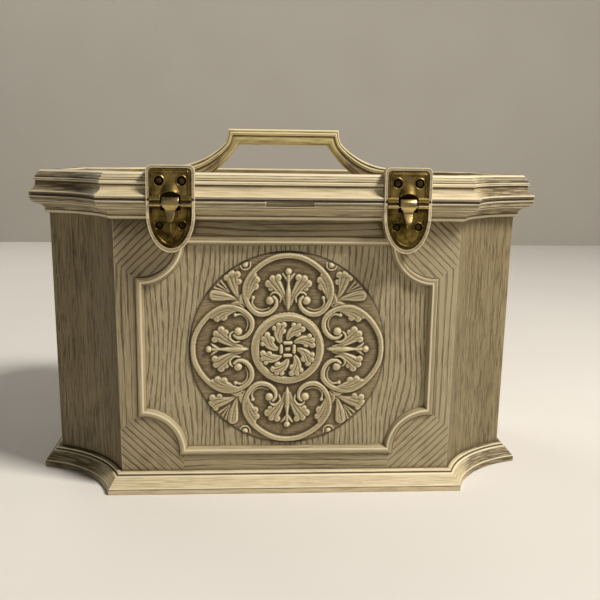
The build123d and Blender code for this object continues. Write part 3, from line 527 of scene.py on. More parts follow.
@dataclass(frozen=True)
class IvoryTray:
    """Ivory polystyrene straight from a fine-grained mould: satin, a little uneven, with pin scuffs."""

    name: str
    ivory: str = "#e6dcc0"
    scuff: str = "#dad0b2"
    roughness: float = 0.42

    def material(self) -> Material:
        """Build the node material.

        Returns:
            The plastic material.
        """
        mat, tree, point = surface(self.name)
        worn = add(tree, "TexNoise", {"Vector": point, "Scale": 1 / 14.0, "Detail": 5.0, "Roughness": 0.7})
        share = add(tree, "MapRange", [worn, 0.45, 0.75])
        rough = add(tree, "MapRange", [share, 0.0, 1.0, self.roughness, self.roughness + 0.2])
        # Spark-eroded mould texture, 0.5 mm grit
        grit = add(tree, "TexNoise", {"Vector": point, "Scale": 1 / 0.5, "Detail": 1.0})
        plug(mat, share, (self.ivory, self.scuff), rough, grit, 0.03 * MM)
        return mat


@dataclass(frozen=True)
class StudioPaper:
    """Matt paper sweep under and behind the box, with the faint mottle of paper."""

    name: str
    paper: str
    shade: str
    roughness: float = 0.85

    def material(self) -> Material:
        """Build the node material.

        Returns:
            The matt material.
        """
        mat, tree, point = surface(self.name)
        mottle = add(tree, "TexNoise", {"Vector": point, "Scale": 6.0 * MM, "Detail": 4.0})
        plug(mat, mottle, (self.paper, self.shade), add(tree, "Value"))
        tree.nodes["Value"].outputs[0].default_value = self.roughness
        return mat


def finished(name: str, mesh: Mesh, body: str, look: Material, sharp: float = 180.0) -> bpy.types.Object:
    """Turn a finished bmesh in millimetres into a piece that rides on a body.

    Args:
        name: name of the piece.
        mesh: the shape, in millimetres, in the CAD model's place.
        body: CAD body that carries it.
        look: material of the whole piece.
        sharp: edges that turn more than this many degrees stay sharp.

    Returns:
        The new object at the origin.
    """
    bmesh.ops.scale(mesh, vec=(MM, MM, MM), verts=mesh.verts)
    piece = placed(name, mesh, look)
    for face in piece.data.polygons:
        face.use_smooth = True
    piece.data.set_sharp_from_angle(angle=math.radians(sharp))
    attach(piece, body)
    LOG.info("%s: %d faces on %s", name, len(piece.data.polygons), body)
    return piece


def placed(name: str, mesh: Mesh, look: Material) -> bpy.types.Object:
    """Put a bmesh into the scene as an object at the origin, and free it.

    Args:
        name: name of object and mesh.
        mesh: the shape in metres.
        look: its material.

    Returns:
        The new object.
    """
    data = bpy.data.meshes.new(name)
    mesh.to_mesh(data)
    mesh.free()
    data.materials.append(look)
    piece = bpy.data.objects.new(name, data)
    bpy.context.scene.collection.objects.link(piece)
    return piece


# Hollow and crest of a section's marks: painted shade, groove, dark joint with dirt and painted shade, crest
MARKS = {"": (0.0, 0.0), "s": (0.5, 0.0), "g": (1.0, 0.0), "d": (2.0, 0.0), "c": (0.0, 1.0)}


def swept(rings: list[list[Vector]], section: Section) -> Mesh:
    """Draw a closed section through rings of points by extruding its edge loop.

    Each vertex keeps four attributes: hollow and crest from the section's marks, run, the distance
    along the piece, and around, the distance round the section.

    Args:
        rings: one ring of points for each station, in millimetres.
        section: points of the section, of which the third value, where there is one, is a mark.

    Returns:
        The closed shape.
    """
    mesh = bmesh.new()
    layers = {name: mesh.verts.layers.float.new(name) for name in ("hollow", "crest", "run", "around")}
    verts = bmesh.ops.create_circle(mesh, segments=len(section), radius=1.0)["verts"]
    run, around = 0.0, 0.0
    for i, (vert, point) in enumerate(zip(verts, section)):
        around += (rings[0][i] - rings[0][i - 1]).length if i else 0.0
        vert[layers["hollow"]], vert[layers["crest"]] = MARKS[point[2] if len(point) > 2 else ""]
        vert[layers["around"]] = around
    for number, ring in enumerate(rings):
        if number:
            run += (sum(ring, Vector()) - sum(rings[number - 1], Vector())).length / len(ring)
            edges = [mesh.edges.get((verts[i], verts[i - 1])) for i in range(len(verts))]
            grown = bmesh.ops.extrude_edge_only(mesh, edges=edges)["geom"]
            fresh = {v for v in grown if isinstance(v, bmesh.types.BMVert)}
            verts = [next(e.other_vert(v) for e in v.link_edges if e.other_vert(v) in fresh) for v in verts]
        for vert, point in zip(verts, ring):
            vert.co = point
            vert[layers["run"]] = run
    bmesh.ops.holes_fill(mesh, edges=[e for e in mesh.edges if e.is_boundary], sides=0)
    bmesh.ops.recalc_face_normals(mesh, faces=mesh.faces)
    return mesh


def grid(across: int, along: int, size: float = 1.0) -> tuple[Mesh, np.ndarray, np.ndarray]:
    """Lay out a fine level grid.

    Args:
        across: segments in X.
        along: segments in Y.
        size: half of its width and length.

    Returns:
        The grid and the X and Y of its points.
    """
    mesh = bmesh.new()
    bmesh.ops.create_grid(mesh, x_segments=across, y_segments=along, size=size)
    x, y = np.array([(v.co.x, v.co.y) for v in mesh.verts]).T
    return mesh, x, y


def close_behind(mesh: Mesh, settle: Callable[[Vector], tuple]) -> None:
    """Close an open sheet with a skirt round its rim and a face behind it.

    Args:
        mesh: the sheet.
        settle: takes a point of the rim to its place behind.
    """
    skirt = bmesh.ops.extrude_edge_only(mesh, edges=[e for e in mesh.edges if e.is_boundary])["geom"]
    for vert in (g for g in skirt if isinstance(g, bmesh.types.BMVert)):
        vert.co = settle(vert.co)
    bmesh.ops.contextual_create(mesh, geom=[e for e in mesh.edges if e.is_boundary])
    bmesh.ops.recalc_face_normals(mesh, faces=mesh.faces)


def squeeze(a: np.ndarray, b: np.ndarray) -> np.ndarray:
    """Factor that pulls the corner of a square grid in to a round one, for distances a and b past its centre."""
    return np.maximum(a, b) / np.maximum(np.hypot(a, b), 1e-9)


def rounded(
    x: np.ndarray, y: np.ndarray, half_x: float, half_y: float, corner: float
) -> tuple[np.ndarray, np.ndarray, np.ndarray]:
    """Pull the corners of a rectangular grid in to round ones.

    Args:
        x: distances from the middle of the rectangle one way.
        y: distances the other way.
        half_x: half of the rectangle's size one way.
        half_y: half of its size the other way.
        corner: radius of the corners.

    Returns:
        The new x and y, and how far each point lies inside the edge.
    """
    core_x, core_y = half_x - corner, half_y - corner
    over_x, over_y = np.maximum(np.abs(x) - core_x, 0), np.maximum(np.abs(y) - core_y, 0)
    shrink = squeeze(over_x, over_y)
    x = np.where(over_x > 0, np.copysign(core_x + over_x * shrink, x), x)
    y = np.where(over_y > 0, np.copysign(core_y + over_y * shrink, y), y)
    a, b = np.abs(x) - core_x, np.abs(y) - core_y
    return x, y, corner - np.where((a > 0) & (b > 0), np.hypot(a, b), np.maximum(a, b))


@dataclass
class Plan:
    """Plan of the box's leaning walls with their four scooped corners."""

    half_width: float = 164.2
    half_depth: float = 102.0
    lean: float = 0.0115
    scoop_cut: float = 52.0
    scoop_rise: float = 7.9

    @property
    def radius(self) -> float:
        """Radius of a scoop's arc."""
        return (self.scoop_cut**2 / 2 + self.scoop_rise**2) / (2 * self.scoop_rise)

    @property
    def reach(self) -> float:
        """How far the centre of a scoop's arc lies outside both walls."""
        return (self.radius - self.scoop_rise) / math.sqrt(2) - self.scoop_cut / 2

    def half(self, z: float) -> tuple[float, float]:
        """Half width and half depth of the walls at a height."""
        return self.half_width + self.lean * z, self.half_depth + self.lean * z

    def outward(self, x: float, y: float, z: float) -> tuple[float, str]:
        """Say how far a point lies outside the wall and which wall is nearest.

        Args:
            x: across the front, in millimetres.
            y: front to back.
            z: height.

        Returns:
            Distance outside the wall, negative inside, and front, back, side or scoop.
        """
        side, deep = abs(x) - self.half(z)[0], abs(y) - self.half(z)[1]
        scoop = self.radius - math.hypot(side - self.reach, deep - self.reach)
        gaps = {"front" if y < 0 else "back": deep, "side": side, "scoop": scoop}
        wall = max(gaps, key=lambda key: gaps[key])
        return gaps[wall], wall

    def at(self, place: tuple, offset: float, z: float) -> Vector:
        """Point of the outline grown by offset at a station.

        Args:
            place: quarter signs (x, y), the kind front, side or scoop, and where on it: millimetres
                along a straight part, or a share of the arc from its front or back end.
            offset: distance outside the wall.
            z: height.

        Returns:
            The point.
        """
        sx, sy, kind, where = place
        half_w, half_d = self.half(z)
        if kind == "front":
            return Vector((where, sy * (half_d + offset), z))
        r = self.radius - offset
        start = math.pi + math.asin((self.reach - offset) / r)
        angle = start + where * 2 * (math.radians(225) - start)
        x, y = half_w + self.reach + r * math.cos(angle), half_d + self.reach + r * math.sin(angle)
        return Vector((sx * x, sy * y, z))

    def front(self, x: float, z: float, lift: float) -> tuple[float, float, float]:
        """Place a point lift millimetres in front of the leaning front wall."""
        return x, -self.half(z)[1] - lift, z


@dataclass
class PlanMoulding:
    """Moulding that follows the plan, in four runs that stop at the latch and hinge pads, or in one ring."""

    plan: Plan
    name: str
    body: str
    base: float
    section: Section
    pad_in: float = 61.0
    pad_out: float = 90.6
    hinge_in: float = 75.6
    hinge_out: float = 108.4
    through: bool = False
    recess_half: float = 0.0
    recess_lip: float = 10.72
    recess_floor: float = 11.54
    recess_foot: float = 10.6

    def runs(self) -> dict[str, list[tuple]]:
        """Stations of each run.

        Returns:
            Name of a run to its stations.
        """
        shares = [i / SCOOP_STEPS for i in range(SCOOP_STEPS + 1)]
        if self.through:
            ring: list[tuple] = [(1, 1, "front", 0.0)]
            for sx, sy, forward in ((1, 1, True), (1, -1, False), (-1, -1, True), (-1, 1, False)):
                ring += [(sx, sy, "scoop", s if forward else 1 - s) for s in shares]
            return {"ring": ring + [(1, 1, "front", 0.0)]}
        # Stations just before and after each end wall of the recess, and one more where its crest starts
        half = self.recess_half
        walls = [-half - 0.9, -half - 0.12, -half + 0.12, half - 0.12, half + 0.12] if half else []
        runs = {
            "front": [(1, -1, "front", x) for x in (-self.pad_in, *walls, self.pad_in)],
            "back": [(1, 1, "front", x) for x in (-self.hinge_in, self.hinge_in)],
        }
        for side in Side:
            sx = side.value
            scoops = [(sx, -1, "scoop", s) for s in shares] + [(sx, 1, "scoop", 1 - s) for s in shares]
            ends = (sx, -1, "front", sx * self.pad_out), (sx, 1, "front", sx * self.hinge_out)
            runs[side.word] = [ends[0], *scoops, ends[1]]
        return runs

    def build(self, look: Material) -> None:
        """Draw the section along each run.

        Args:
            look: material of the moulding.
        """
        for word, stations in self.runs().items():
            rings = [[self.plan.at(place, p[0], self.base + p[1]) for p in self.section] for place in stations]
            mesh = swept(rings, self.section)
            if word == "front" and self.recess_half:
                self.press_recess(mesh)
            finished(f"{self.name}_{word}", mesh, self.body, look, sharp=38.0)

    def press_recess(self, mesh: Mesh) -> None:
        """Press the shallow thumb recess under the joint, in the middle of the front, and paint its shade and its
        highlight.

        Args:
            mesh: the front run, with stations at both sides of the recess's end walls.
        """
        hollow, crest = (mesh.verts.layers.float[name] for name in ("hollow", "crest"))
        for vert in mesh.verts:
            fall = self.base - vert.co.z
            out, _ = self.plan.outward(*vert.co)
            if out < self.recess_lip or not 0.3 < fall < 3.7:
                continue
            if abs(vert.co.x) < self.recess_half:
                vert.co.y += out - (self.recess_floor if fall < 2.2 else self.recess_foot)
                # Painted shade in the recess: darkest at the top, in the shadow of the lid's lip, lighter lower down
                vert[hollow] = 1.3 if fall < 0.9 else 0.95 if fall < 2.2 else 0.3
                vert[crest] = 0.0
            elif -self.recess_half - 0.5 < vert.co.x < 0:
                # Painted highlight on the left wall of the recess, which faces the light
                vert[crest] = 1.0


# Sections as (out from the wall, up from the base, mark)
# The lid's first marks darken the joint with dirt and painted shade, and its s marks paint the shade under its lip
LID_SECTION = (
    (10.9, 0.25, "d"), (11.53, 0.42, "d"), (11.56, 0.55, "s"), (11.6, 1.05, "s"), (11.66, 1.4, "s"),
    (11.8, 1.65, "c"), (11.82, 2.05, "c"), (11.66, 2.4, "c"), (11.35, 2.6), (10.95, 2.78), (10.6, 3.0),
    (10.2, 3.4), (9.4, 4.0), (8.7, 4.75), (8.15, 5.6), (7.75, 6.6), (7.5, 7.8), (7.42, 8.9, "g"),
    (7.5, 9.2, "g"), (7.9, 9.36), (8.4, 9.46, "c"), (8.55, 9.8, "c"), (8.5, 10.5), (8.35, 11.1, "c"),
    (8.0, 11.45), (7.6, 11.6, "g"), (7.45, 11.8, "g"), (7.6, 12.0), (7.66, 12.5), (7.45, 12.9), (6.9, 13.06),
    (6.5, 13.2, "g"), (6.42, 13.4), (6.6, 13.55, "c"), (6.5, 14.2), (6.3, 14.6), (5.8, 14.82),
    (5.45, 14.95, "g"), (5.36, 15.15), (5.45, 15.4, "c"), (5.1, 16.0, "c"), (4.3, 16.5, "c"), (3.3, 16.72),
    (1.0, 16.76), (-0.6, 16.72, "g"), (-1.0, 16.72, "g"), (-1.4, 16.76), (-5.8, 16.76), (-6.8, 16.66, "c"),
    (-7.25, 16.3, "c"), (-7.35, 15.6), (-6.6, 15.1), (2.0, 15.5), (4.3, 14.0), (5.2, 12.0), (6.3, 9.5),
    (6.6, 6.5), (7.6, 4.0), (10.5, 1.9), (10.8, 0.4),
)
# The cornice's first marks darken the joint from below with dirt and painted shade
CORNICE_SECTION = (
    (10.9, -0.25, "d"), (11.55, -0.42, "d"), (11.64, -0.8, "d"), (11.74, -1.02, "c"), (11.75, -1.28, "c"),
    (11.7, -1.5, "g"), (11.7, -1.65, "g"), (11.74, -1.8), (11.6, -2.1), (11.1, -2.3), (10.9, -2.42, "g"),
    (10.92, -2.6), (10.98, -3.0), (10.98, -3.62), (10.97, -3.78), (10.95, -4.0), (10.8, -4.3, "c"),
    (10.4, -4.55), (9.9, -4.7, "g"), (9.6, -4.85, "g"), (9.55, -5.1), (9.5, -5.6, "c"), (9.0, -6.0),
    (7.9, -6.2), (6.4, -6.5), (5.2, -6.95), (4.2, -7.6), (3.4, -8.5), (2.9, -9.4), (2.6, -10.2),
    (2.4, -10.5, "g"), (2.5, -10.7), (2.9, -10.9, "c"), (3.05, -11.3, "c"), (2.95, -12.0, "c"), (2.5, -12.6),
    (1.5, -12.95), (0.6, -13.1), (-0.2, -13.2), (-1.0, -12.5), (-1.0, -9.5), (1.0, -7.5), (3.5, -5.5),
    (7.5, -4.8), (10.0, -1.5), (10.6, -0.5),
)
PLINTH_SECTION = (
    (10.5, 0.02), (10.95, 0.25), (11.05, 0.7), (11.08, 1.8), (11.05, 3.1), (10.95, 3.5, "g"), (10.75, 3.7, "g"),
    (10.85, 3.95, "c"), (10.7, 4.3, "c"), (10.2, 4.75), (9.4, 5.6), (8.5, 6.7), (7.6, 7.8), (6.9, 8.7),
    (6.35, 9.4), (5.8, 10.0), (5.2, 10.5, "c"), (4.6, 10.85, "c"), (4.1, 11.0, "g"), (3.6, 11.12, "g"),
    (3.25, 11.3, "g"), (3.3, 11.6), (3.45, 11.9, "c"), (3.3, 12.5, "c"), (2.8, 12.85), (1.8, 13.15),
    (0.9, 13.28, "g"), (-0.2, 13.36, "g"), (-0.9, 12.6), (1.5, 11.8), (3.0, 9.8), (5.0, 8.0), (8.5, 4.0),
    (9.6, 2.0), (9.4, 0.4),
)
# Beads as (out from the outline or in from the pad's edge, proud of the face, mark)
PANEL_BEAD_SECTION = (
    (3.6, 0.03), (3.2, 0.05, "g"), (2.75, 0.1, "g"), (2.6, 0.35, "g"), (2.5, 0.8), (2.3, 1.2), (1.9, 1.5),
    (1.35, 1.66), (0.7, 1.66), (0.3, 1.55), (0.0, 1.46), (-0.3, 1.5, "c"), (-0.7, 1.55, "c"),
    (-1.15, 1.42, "c"), (-1.5, 1.1), (-1.8, 0.6), (-2.1, 0.0), (-2.4, -0.8), (-2.65, -1.5), (-2.95, -2.05, "g"),
    (-3.4, -2.16), (-3.3, -2.7), (2.5, -0.8), (3.3, -0.4),
)
PAD_BEAD_SECTION = (
    (-0.1, -2.4), (-0.12, -0.6), (-0.08, -0.2), (0.06, 0.04, "c"), (0.28, 0.12, "c"), (0.5, 0.05),
    (0.68, -0.15), (0.76, -0.5, "g"), (0.6, -0.9), (0.15, -2.4),
)


@dataclass
class PanelBead:
    """Double bead around the sunken field, with its hollowed corners."""

    plan: Plan
    notch: float = 27.5
    steps: int = 22
    section: Section = PANEL_BEAD_SECTION

    def ring(self, corner: int, share: float) -> list[Vector]:
        """Section at one station.

        Args:
            corner: number of the notch, anticlockwise from the lower right.
            share: share of the notch's arc.

        Returns:
            Points of the section.
        """
        points = []
        sx, sz = ((1, -1), (1, 1), (-1, 1), (-1, -1))[corner]
        for grow, lift, *_ in self.section:
            r = self.notch - grow
            lean = math.asin(grow / r)
            forward = share if corner % 2 == 0 else 1 - share
            angle = math.pi + lean - forward * (math.pi / 2 + 2 * lean)
            u = sx * (PANEL_HALF_WIDTH + r * math.cos(angle))
            v = sz * (PANEL_HALF_HEIGHT - r * math.sin(angle))
            points.append(Vector(self.plan.front(u, PANEL_MIDDLE_Z + v, lift)))
        return points

    def build(self, look: Material) -> None:
        """Draw the bead once round the panel.

        Args:
            look: material of the bead.
        """
        rings = [self.ring(corner, i / self.steps) for corner in range(4) for i in range(self.steps + 1)]
        mesh = swept([*rings, rings[0]], self.section)
        finished("panel_bead", mesh, "case", look, sharp=40.0)


@dataclass
class PadBead:
    """Rounded rim of a latch pad: round-topped on the lid, shield-shaped on the case."""

    side: Side
    body: str
    face: float = 116.803
    shield_mid: float = 190.0
    shield_drop: float = 24.8
    lid_top: float = 220.3
    corner: float = 3.5
    joint_gap: float = 0.03
    section: Section = PAD_BEAD_SECTION

    def outline(self, inside: float) -> list[tuple[float, float]]:
        """Walk the pad's edge from the lower right over the middle to the left.

        Args:
            inside: distance inside the edge.

        Returns:
            Distances from the latch's centre line, and heights.
        """
        wide = PAD_HALF_WIDTH - inside
        if self.body == "lid":
            r = self.corner - inside
            round_x, round_z = PAD_HALF_WIDTH - self.corner, self.lid_top - self.corner
            half = [(wide, LID_BOTTOM + self.joint_gap)]
            turns = map(math.radians, range(0, 91, 10))
            half += [(round_x + r * math.cos(a), round_z + r * math.sin(a)) for a in turns]
            return half + [(-x, z) for x, z in reversed(half)]
        low = self.shield_drop - inside
        half = [(wide, SEAM_Z - self.joint_gap)]
        turns = map(math.radians, range(0, 90, 5))
        half += [(wide * math.cos(a), self.shield_mid - low * math.sin(a)) for a in turns]
        return half + [(0.0, self.shield_mid - low)] + [(-x, z) for x, z in reversed(half)]

    def build(self, look: Material) -> None:
        """Draw the rim along the pad's outline.

        Args:
            look: material of the rim.
        """
        middle = self.side.value * LATCH_X
        lines = [[Vector((middle + x, -(self.face + p[1]), z)) for x, z in self.outline(p[0])] for p in self.section]
        mesh = swept([list(ring) for ring in zip(*lines)], self.section)
        finished(f"{self.body}_pad_bead_{self.side.word}", mesh, self.body, look, sharp=50.0)


class Cut(Enum):
    """Form that the carver raises or cuts along a row of marks."""

    ROUND = "half round"
    FLAT = "flat top with rounded shoulders"
    KEEL = "leaf with a raised midrib"
    BLADE = "broad leaf, steep at its edge and dished in its middle"
    VEIN = "soft groove"
    BOSS = "half ball at each mark"
    TIP = "flat-topped boss at each mark, as on the tip of a leaf"


@dataclass
class Relief:
    """Height field of a carving over the (u, v) plane, in millimetres."""

    half: float
    steps: int

    def __post_init__(self) -> None:
        """Lay out the grid."""
        self.line = np.linspace(-self.half, self.half, self.steps + 1)
        self.u, self.v = np.meshgrid(self.line, self.line, indexing="ij")
        self.far = np.hypot(self.u, self.v)
        self.height = np.zeros_like(self.u)

    def window(self, points: np.ndarray, margin: float) -> tuple[slice, slice]:
        """Find the part of the grid that holds some points with a margin round them.

        Args:
            points: rows of (u, v).
            margin: the margin.

        Returns:
            Slices in u and v.
        """
        low = np.searchsorted(self.line, points.min(0) - margin)
        high = np.searchsorted(self.line, points.max(0) + margin) + 1
        return slice(low[0], high[0]), slice(low[1], high[1])

    def along(self, marks: Marks, per_span: int = 7) -> np.ndarray:
        """Draw a smooth line through marks, by Catmull-Rom.

        Args:
            marks: rows of (u, v, half width, height).
            per_span: steps between two marks.

        Returns:
            Closer rows of the same four values.
        """
        knots = np.array(marks, float)
        padded = np.vstack([2 * knots[0] - knots[1], knots, 2 * knots[-1] - knots[-2]])
        rows = []
        for i in range(1, len(padded) - 2):
            a, b, c, d = padded[i - 1 : i + 3]
            for t in np.linspace(0, 1, per_span, endpoint=False):
                cubic = 3 * b - a - 3 * c + d
                rows.append(0.5 * (2 * b + (c - a) * t + (2 * a - 5 * b + 4 * c - d) * t**2 + cubic * t**3))
        return np.array([*rows, padded[-2]])

    def nearest(self, line: np.ndarray, where: tuple[slice, slice]) -> tuple[np.ndarray, np.ndarray, np.ndarray]:
        """Distance over half width, side distance and height of the nearest part of a line.

        Args:
            line: rows of (u, v, half width, height).
            where: window of the grid.

        Returns:
            Three grids: distance over half width, plain distance, and height of the stroke there.
        """
        u, v = self.u[where], self.v[where]
        best, gap, top = np.full(u.shape, 9.0), np.full(u.shape, 99.0), np.zeros(u.shape)
        for a, b in zip(line[:-1], line[1:]):
            run = b[:2] - a[:2]
            length = float(run @ run) or 1e-9
            t = np.clip(((u - a[0]) * run[0] + (v - a[1]) * run[1]) / length, 0, 1)
            dist = np.hypot(u - a[0] - t * run[0], v - a[1] - t * run[1])
            share = dist / np.maximum(a[2] + t * (b[2] - a[2]), 0.05)
            closer = share < best
            best = np.where(closer, share, best)
            gap = np.where(closer, dist, gap)
            top = np.where(closer, a[3] + t * (b[3] - a[3]), top)
        return best, gap, top

    def cut(self, form: Cut, marks: Marks) -> None:
        """Raise or cut one form.

        Args:
            form: the form.
            marks: rows of (u, v, half width or radius, height or depth).
        """
        if form in (Cut.BOSS, Cut.TIP):
            for u, v, radius, top in marks:
                where = self.window(np.array([[u, v]]), radius + 0.5)
                far = np.hypot(self.u[where] - u, self.v[where] - v) / radius
                ball = top * np.sqrt(np.clip(1 - far ** (2.0 if form is Cut.BOSS else 6.0), 0, 1))
                self.height[where] = np.maximum(self.height[where], ball)
            return
        line = self.along(marks)
        if form is Cut.KEEL:
            line[:, 2] *= 1.32
        where = self.window(line[:, :2], (3 if form is Cut.VEIN else 1) * float(line[:, 2].max()) + 0.5)
        share, gap, top = self.nearest(line, where)
        if form is Cut.VEIN:
            # The tool leaves half of the depth
            self.height[where] -= 0.5 * top * np.exp(-(share**2))
            return
        inside = np.clip(share, 0, 1)
        if form is Cut.FLAT:
            shape = (1 - inside**6) ** 0.5
        elif form is Cut.BLADE:
            shape = (1 - inside**5) ** 0.5 * (0.86 + 0.14 * inside**2)
        else:
            shape = np.sqrt(1 - inside**2)
            if form is Cut.KEEL:
                shape *= 0.78 + 0.22 * np.exp(-((gap / 0.45) ** 2))
        self.height[where] = np.maximum(self.height[where], np.where(share < 1, top * shape, 0))

    def softened(self, spread: float) -> np.ndarray:
        """Blur the height by a Gaussian.

        Args:
            spread: its spread in millimetres.

        Returns:
            Grid of blurred heights.
        """
        step = self.line[1] - self.line[0]
        reach = max(1, int(3 * spread / step))
        kernel = np.exp(-0.5 * (np.arange(-reach, reach + 1) * step / spread) ** 2)
        kernel /= kernel.sum()
        blurred = self.height
        for axis in (0, 1):
            blurred = np.apply_along_axis(
                lambda r: np.convolve(np.pad(r, reach, "edge"), kernel, "valid"), axis, blurred
            )
        return blurred


# Forms of half a lobe as rows of (out from the medallion's middle, sideways, half width, height or depth)
LOBE_MIDDLE = 33.7
RIM = (
    (63.0, 0.0), (62.2, 6.6), (60.2, 12.0), (57.4, 16.8), (54.0, 21.0), (50.0, 24.6), (45.4, 27.4), (41.0, 28.6),
    (36.0, 28.4), (31.0, 26.7), (27.0, 24.0), (24.4, 20.6), (23.7, 17.0), (24.6, 13.0), (27.2, 9.5), (30.4, 7.8),
    (33.4, 7.9), (35.6, 9.6),
)
RIM_HALF = (1.75,) * 12 + (1.65, 1.6, 1.5, 1.35, 1.2, 1.0)
HALF_LOBE: list[tuple[Cut, Marks]] = [
    # Rim that ends in a volute, with a fine line inside, then its lip, bosses, leaf tips and curl
    (Cut.FLAT, [(*p, w, 2.0) for p, w in zip(RIM, RIM_HALF)]),
    (Cut.VEIN, [(LOBE_MIDDLE + (out - LOBE_MIDDLE) * 0.975, side * 0.975, 0.28, 0.55) for out, side in RIM[:9]]),
    (Cut.ROUND, [(34.4, 23.3, 0.9, 1.7), (30.6, 23.7, 0.8, 1.5), (27.4, 20.9, 0.75, 1.4), (26.6, 16.6, 0.7, 1.3),
                 (28.0, 12.4, 0.6, 1.2)]),
    (Cut.BOSS, [(33.0, 12.0, 3.0, 2.7), (34.8, 23.2, 1.5, 2.0)]),
    (Cut.TIP, [(44.2, 13.0, 2.7, 1.95), (47.4, 10.3, 2.6, 2.05), (48.4, 6.6, 2.3, 2.0), (41.0, 11.4, 2.0, 1.75),
               (42.4, 21.8, 2.6, 1.85), (46.6, 21.0, 2.6, 1.95), (50.0, 22.8, 2.2, 1.9)]),
    (Cut.ROUND, [(36.6, 11.8, 0.6, 1.8), (38.5, 9.8, 0.9, 2.1), (38.1, 7.0, 1.0, 2.2), (35.2, 4.9, 0.9, 2.1),
                 (31.8, 5.4, 0.6, 1.6)]),
    # Side leaf on the rim, then the fleuron's leaf, the calyx's fingers, and the veins of both leaves
    (Cut.BLADE, [(33.0, 26.6, 1.0, 1.6), (38.0, 25.8, 2.0, 2.1), (43.5, 24.0, 3.5, 2.15), (47.6, 22.6, 3.0, 2.1)]),
    (Cut.BLADE, [(30.5, 1.6, 1.0, 1.5), (36.0, 3.0, 1.9, 1.9), (41.0, 6.2, 3.3, 2.1), (44.8, 9.2, 4.5, 2.2)]),
    (Cut.KEEL, [(33.4, 3.0, 0.5, 1.2), (37.6, 4.2, 0.7, 1.7), (40.4, 7.6, 0.8, 1.9), (40.8, 11.4, 0.6, 1.5)]),
    (Cut.KEEL, [(46.0, 0.6, 0.6, 1.5), (48.8, 2.1, 0.95, 1.9), (50.6, 3.8, 0.7, 1.5)]),
    (Cut.KEEL, [(29.4, 31.0, 0.5, 1.2), (33.4, 31.7, 1.3, 2.0), (37.4, 30.6, 0.6, 1.3)]),
    (Cut.KEEL, [(30.6, 32.8, 0.7, 1.3), (31.4, 34.8, 1.0, 1.7), (30.6, 36.8, 0.6, 1.2)]),
    (Cut.VEIN, [(33.0, 2.6, 0.25, 0.5), (39.0, 6.2, 0.32, 1.0), (43.6, 10.2, 0.34, 1.2), (47.0, 13.0, 0.3, 0.8)]),
    (Cut.VEIN, [(34.0, 2.2, 0.25, 0.5), (40.6, 4.9, 0.32, 1.0), (45.6, 8.0, 0.34, 1.2), (50.0, 9.6, 0.3, 0.8)]),
    (Cut.VEIN, [(37.0, 1.6, 0.25, 0.5), (43.0, 3.6, 0.32, 1.1), (48.0, 4.6, 0.32, 0.9)]),
    (Cut.VEIN, [(34.0, 25.6, 0.22, 0.4), (40.0, 24.2, 0.3, 0.9), (44.9, 21.6, 0.32, 1.1), (45.2, 18.8, 0.3, 0.7)]),
    (Cut.VEIN, [(38.0, 26.0, 0.22, 0.4), (44.0, 24.6, 0.3, 0.9), (48.8, 21.6, 0.32, 1.0), (50.0, 19.4, 0.3, 0.7)]),
]
LOBE_STEM: list[tuple[Cut, Marks]] = [
    (Cut.ROUND, [(26.0, 0.0, 0.4, 1.1), (29.0, 0.0, 1.4, 2.1), (33.0, 0.0, 2.2, 2.5), (36.5, 0.0, 2.3, 2.6),
                 (40.0, 0.0, 1.7, 2.4), (43.0, 0.0, 1.1, 2.1), (46.5, 0.0, 1.0, 1.9), (49.6, 0.0, 1.4, 1.9)]),
    (Cut.BOSS, [(52.3, 0.0, 2.35, 2.8)]),
]
# Between two lobes: a palm and a spoon-shaped leaf, a small fan, veins, tips, and stems that follow the lobes
BETWEEN: list[tuple[Cut, Marks]] = [
    (Cut.BLADE, [(47.4, -1.4, 0.8, 1.3), (52.0, -2.9, 1.8, 1.9), (56.4, -5.6, 3.4, 2.1), (59.8, -8.0, 4.4, 2.2)]),
    (Cut.BLADE, [(47.4, -0.1, 0.8, 1.2), (52.3, 2.7, 2.0, 1.9), (56.4, 5.6, 3.3, 2.3), (60.0, 8.4, 3.8, 2.4)]),
    *((Cut.ROUND, [(54.6, end * 0.1, 0.4, 1.1), (60.0, end * 0.62, 0.65, 1.5), (63.6, end, 0.75, 1.7)])
      for end in (5.0, 1.9, -1.2)),
    (Cut.VEIN, [(51.0, 2.0, 0.25, 0.4), (56.4, 5.4, 0.35, 1.0), (61.4, 9.0, 0.3, 0.9)]),
    (Cut.VEIN, [(54.0, 5.0, 0.22, 0.3), (58.4, 9.0, 0.28, 0.7), (61.4, 11.4, 0.22, 0.4)]),
    (Cut.VEIN, [(56.0, 3.2, 0.22, 0.3), (60.6, 5.6, 0.28, 0.7), (63.2, 7.6, 0.22, 0.4)]),
    (Cut.VEIN, [(49.0, -2.2, 0.25, 0.5), (56.0, -5.0, 0.34, 1.0), (62.0, -7.6, 0.34, 1.2), (65.0, -8.0, 0.3, 0.8)]),
    (Cut.VEIN, [(51.0, -3.6, 0.25, 0.5), (56.4, -7.6, 0.34, 1.0), (60.6, -11.0, 0.34, 1.2), (62.4, -13.4, 0.3, 0.8)]),
    (Cut.VEIN, [(52.0, -5.0, 0.22, 0.4), (56.6, -10.0, 0.3, 0.9), (57.4, -12.6, 0.28, 0.7)]),
    (Cut.TIP, [(62.8, -5.6, 2.4, 1.95), (62.3, -9.4, 2.6, 2.05), (59.2, -11.8, 2.4, 2.0), (55.2, -9.2, 2.1, 1.8)]),
    *((Cut.ROUND, [(41.0, way * 0.6, 0.7, 1.3), (45.0, way * 1.8, 0.9, 1.6), (47.2, way * 5.2, 0.7, 1.5),
                   (47.4, way * 9.0, 0.4, 1.1)]) for way in (-1, 1)),
]
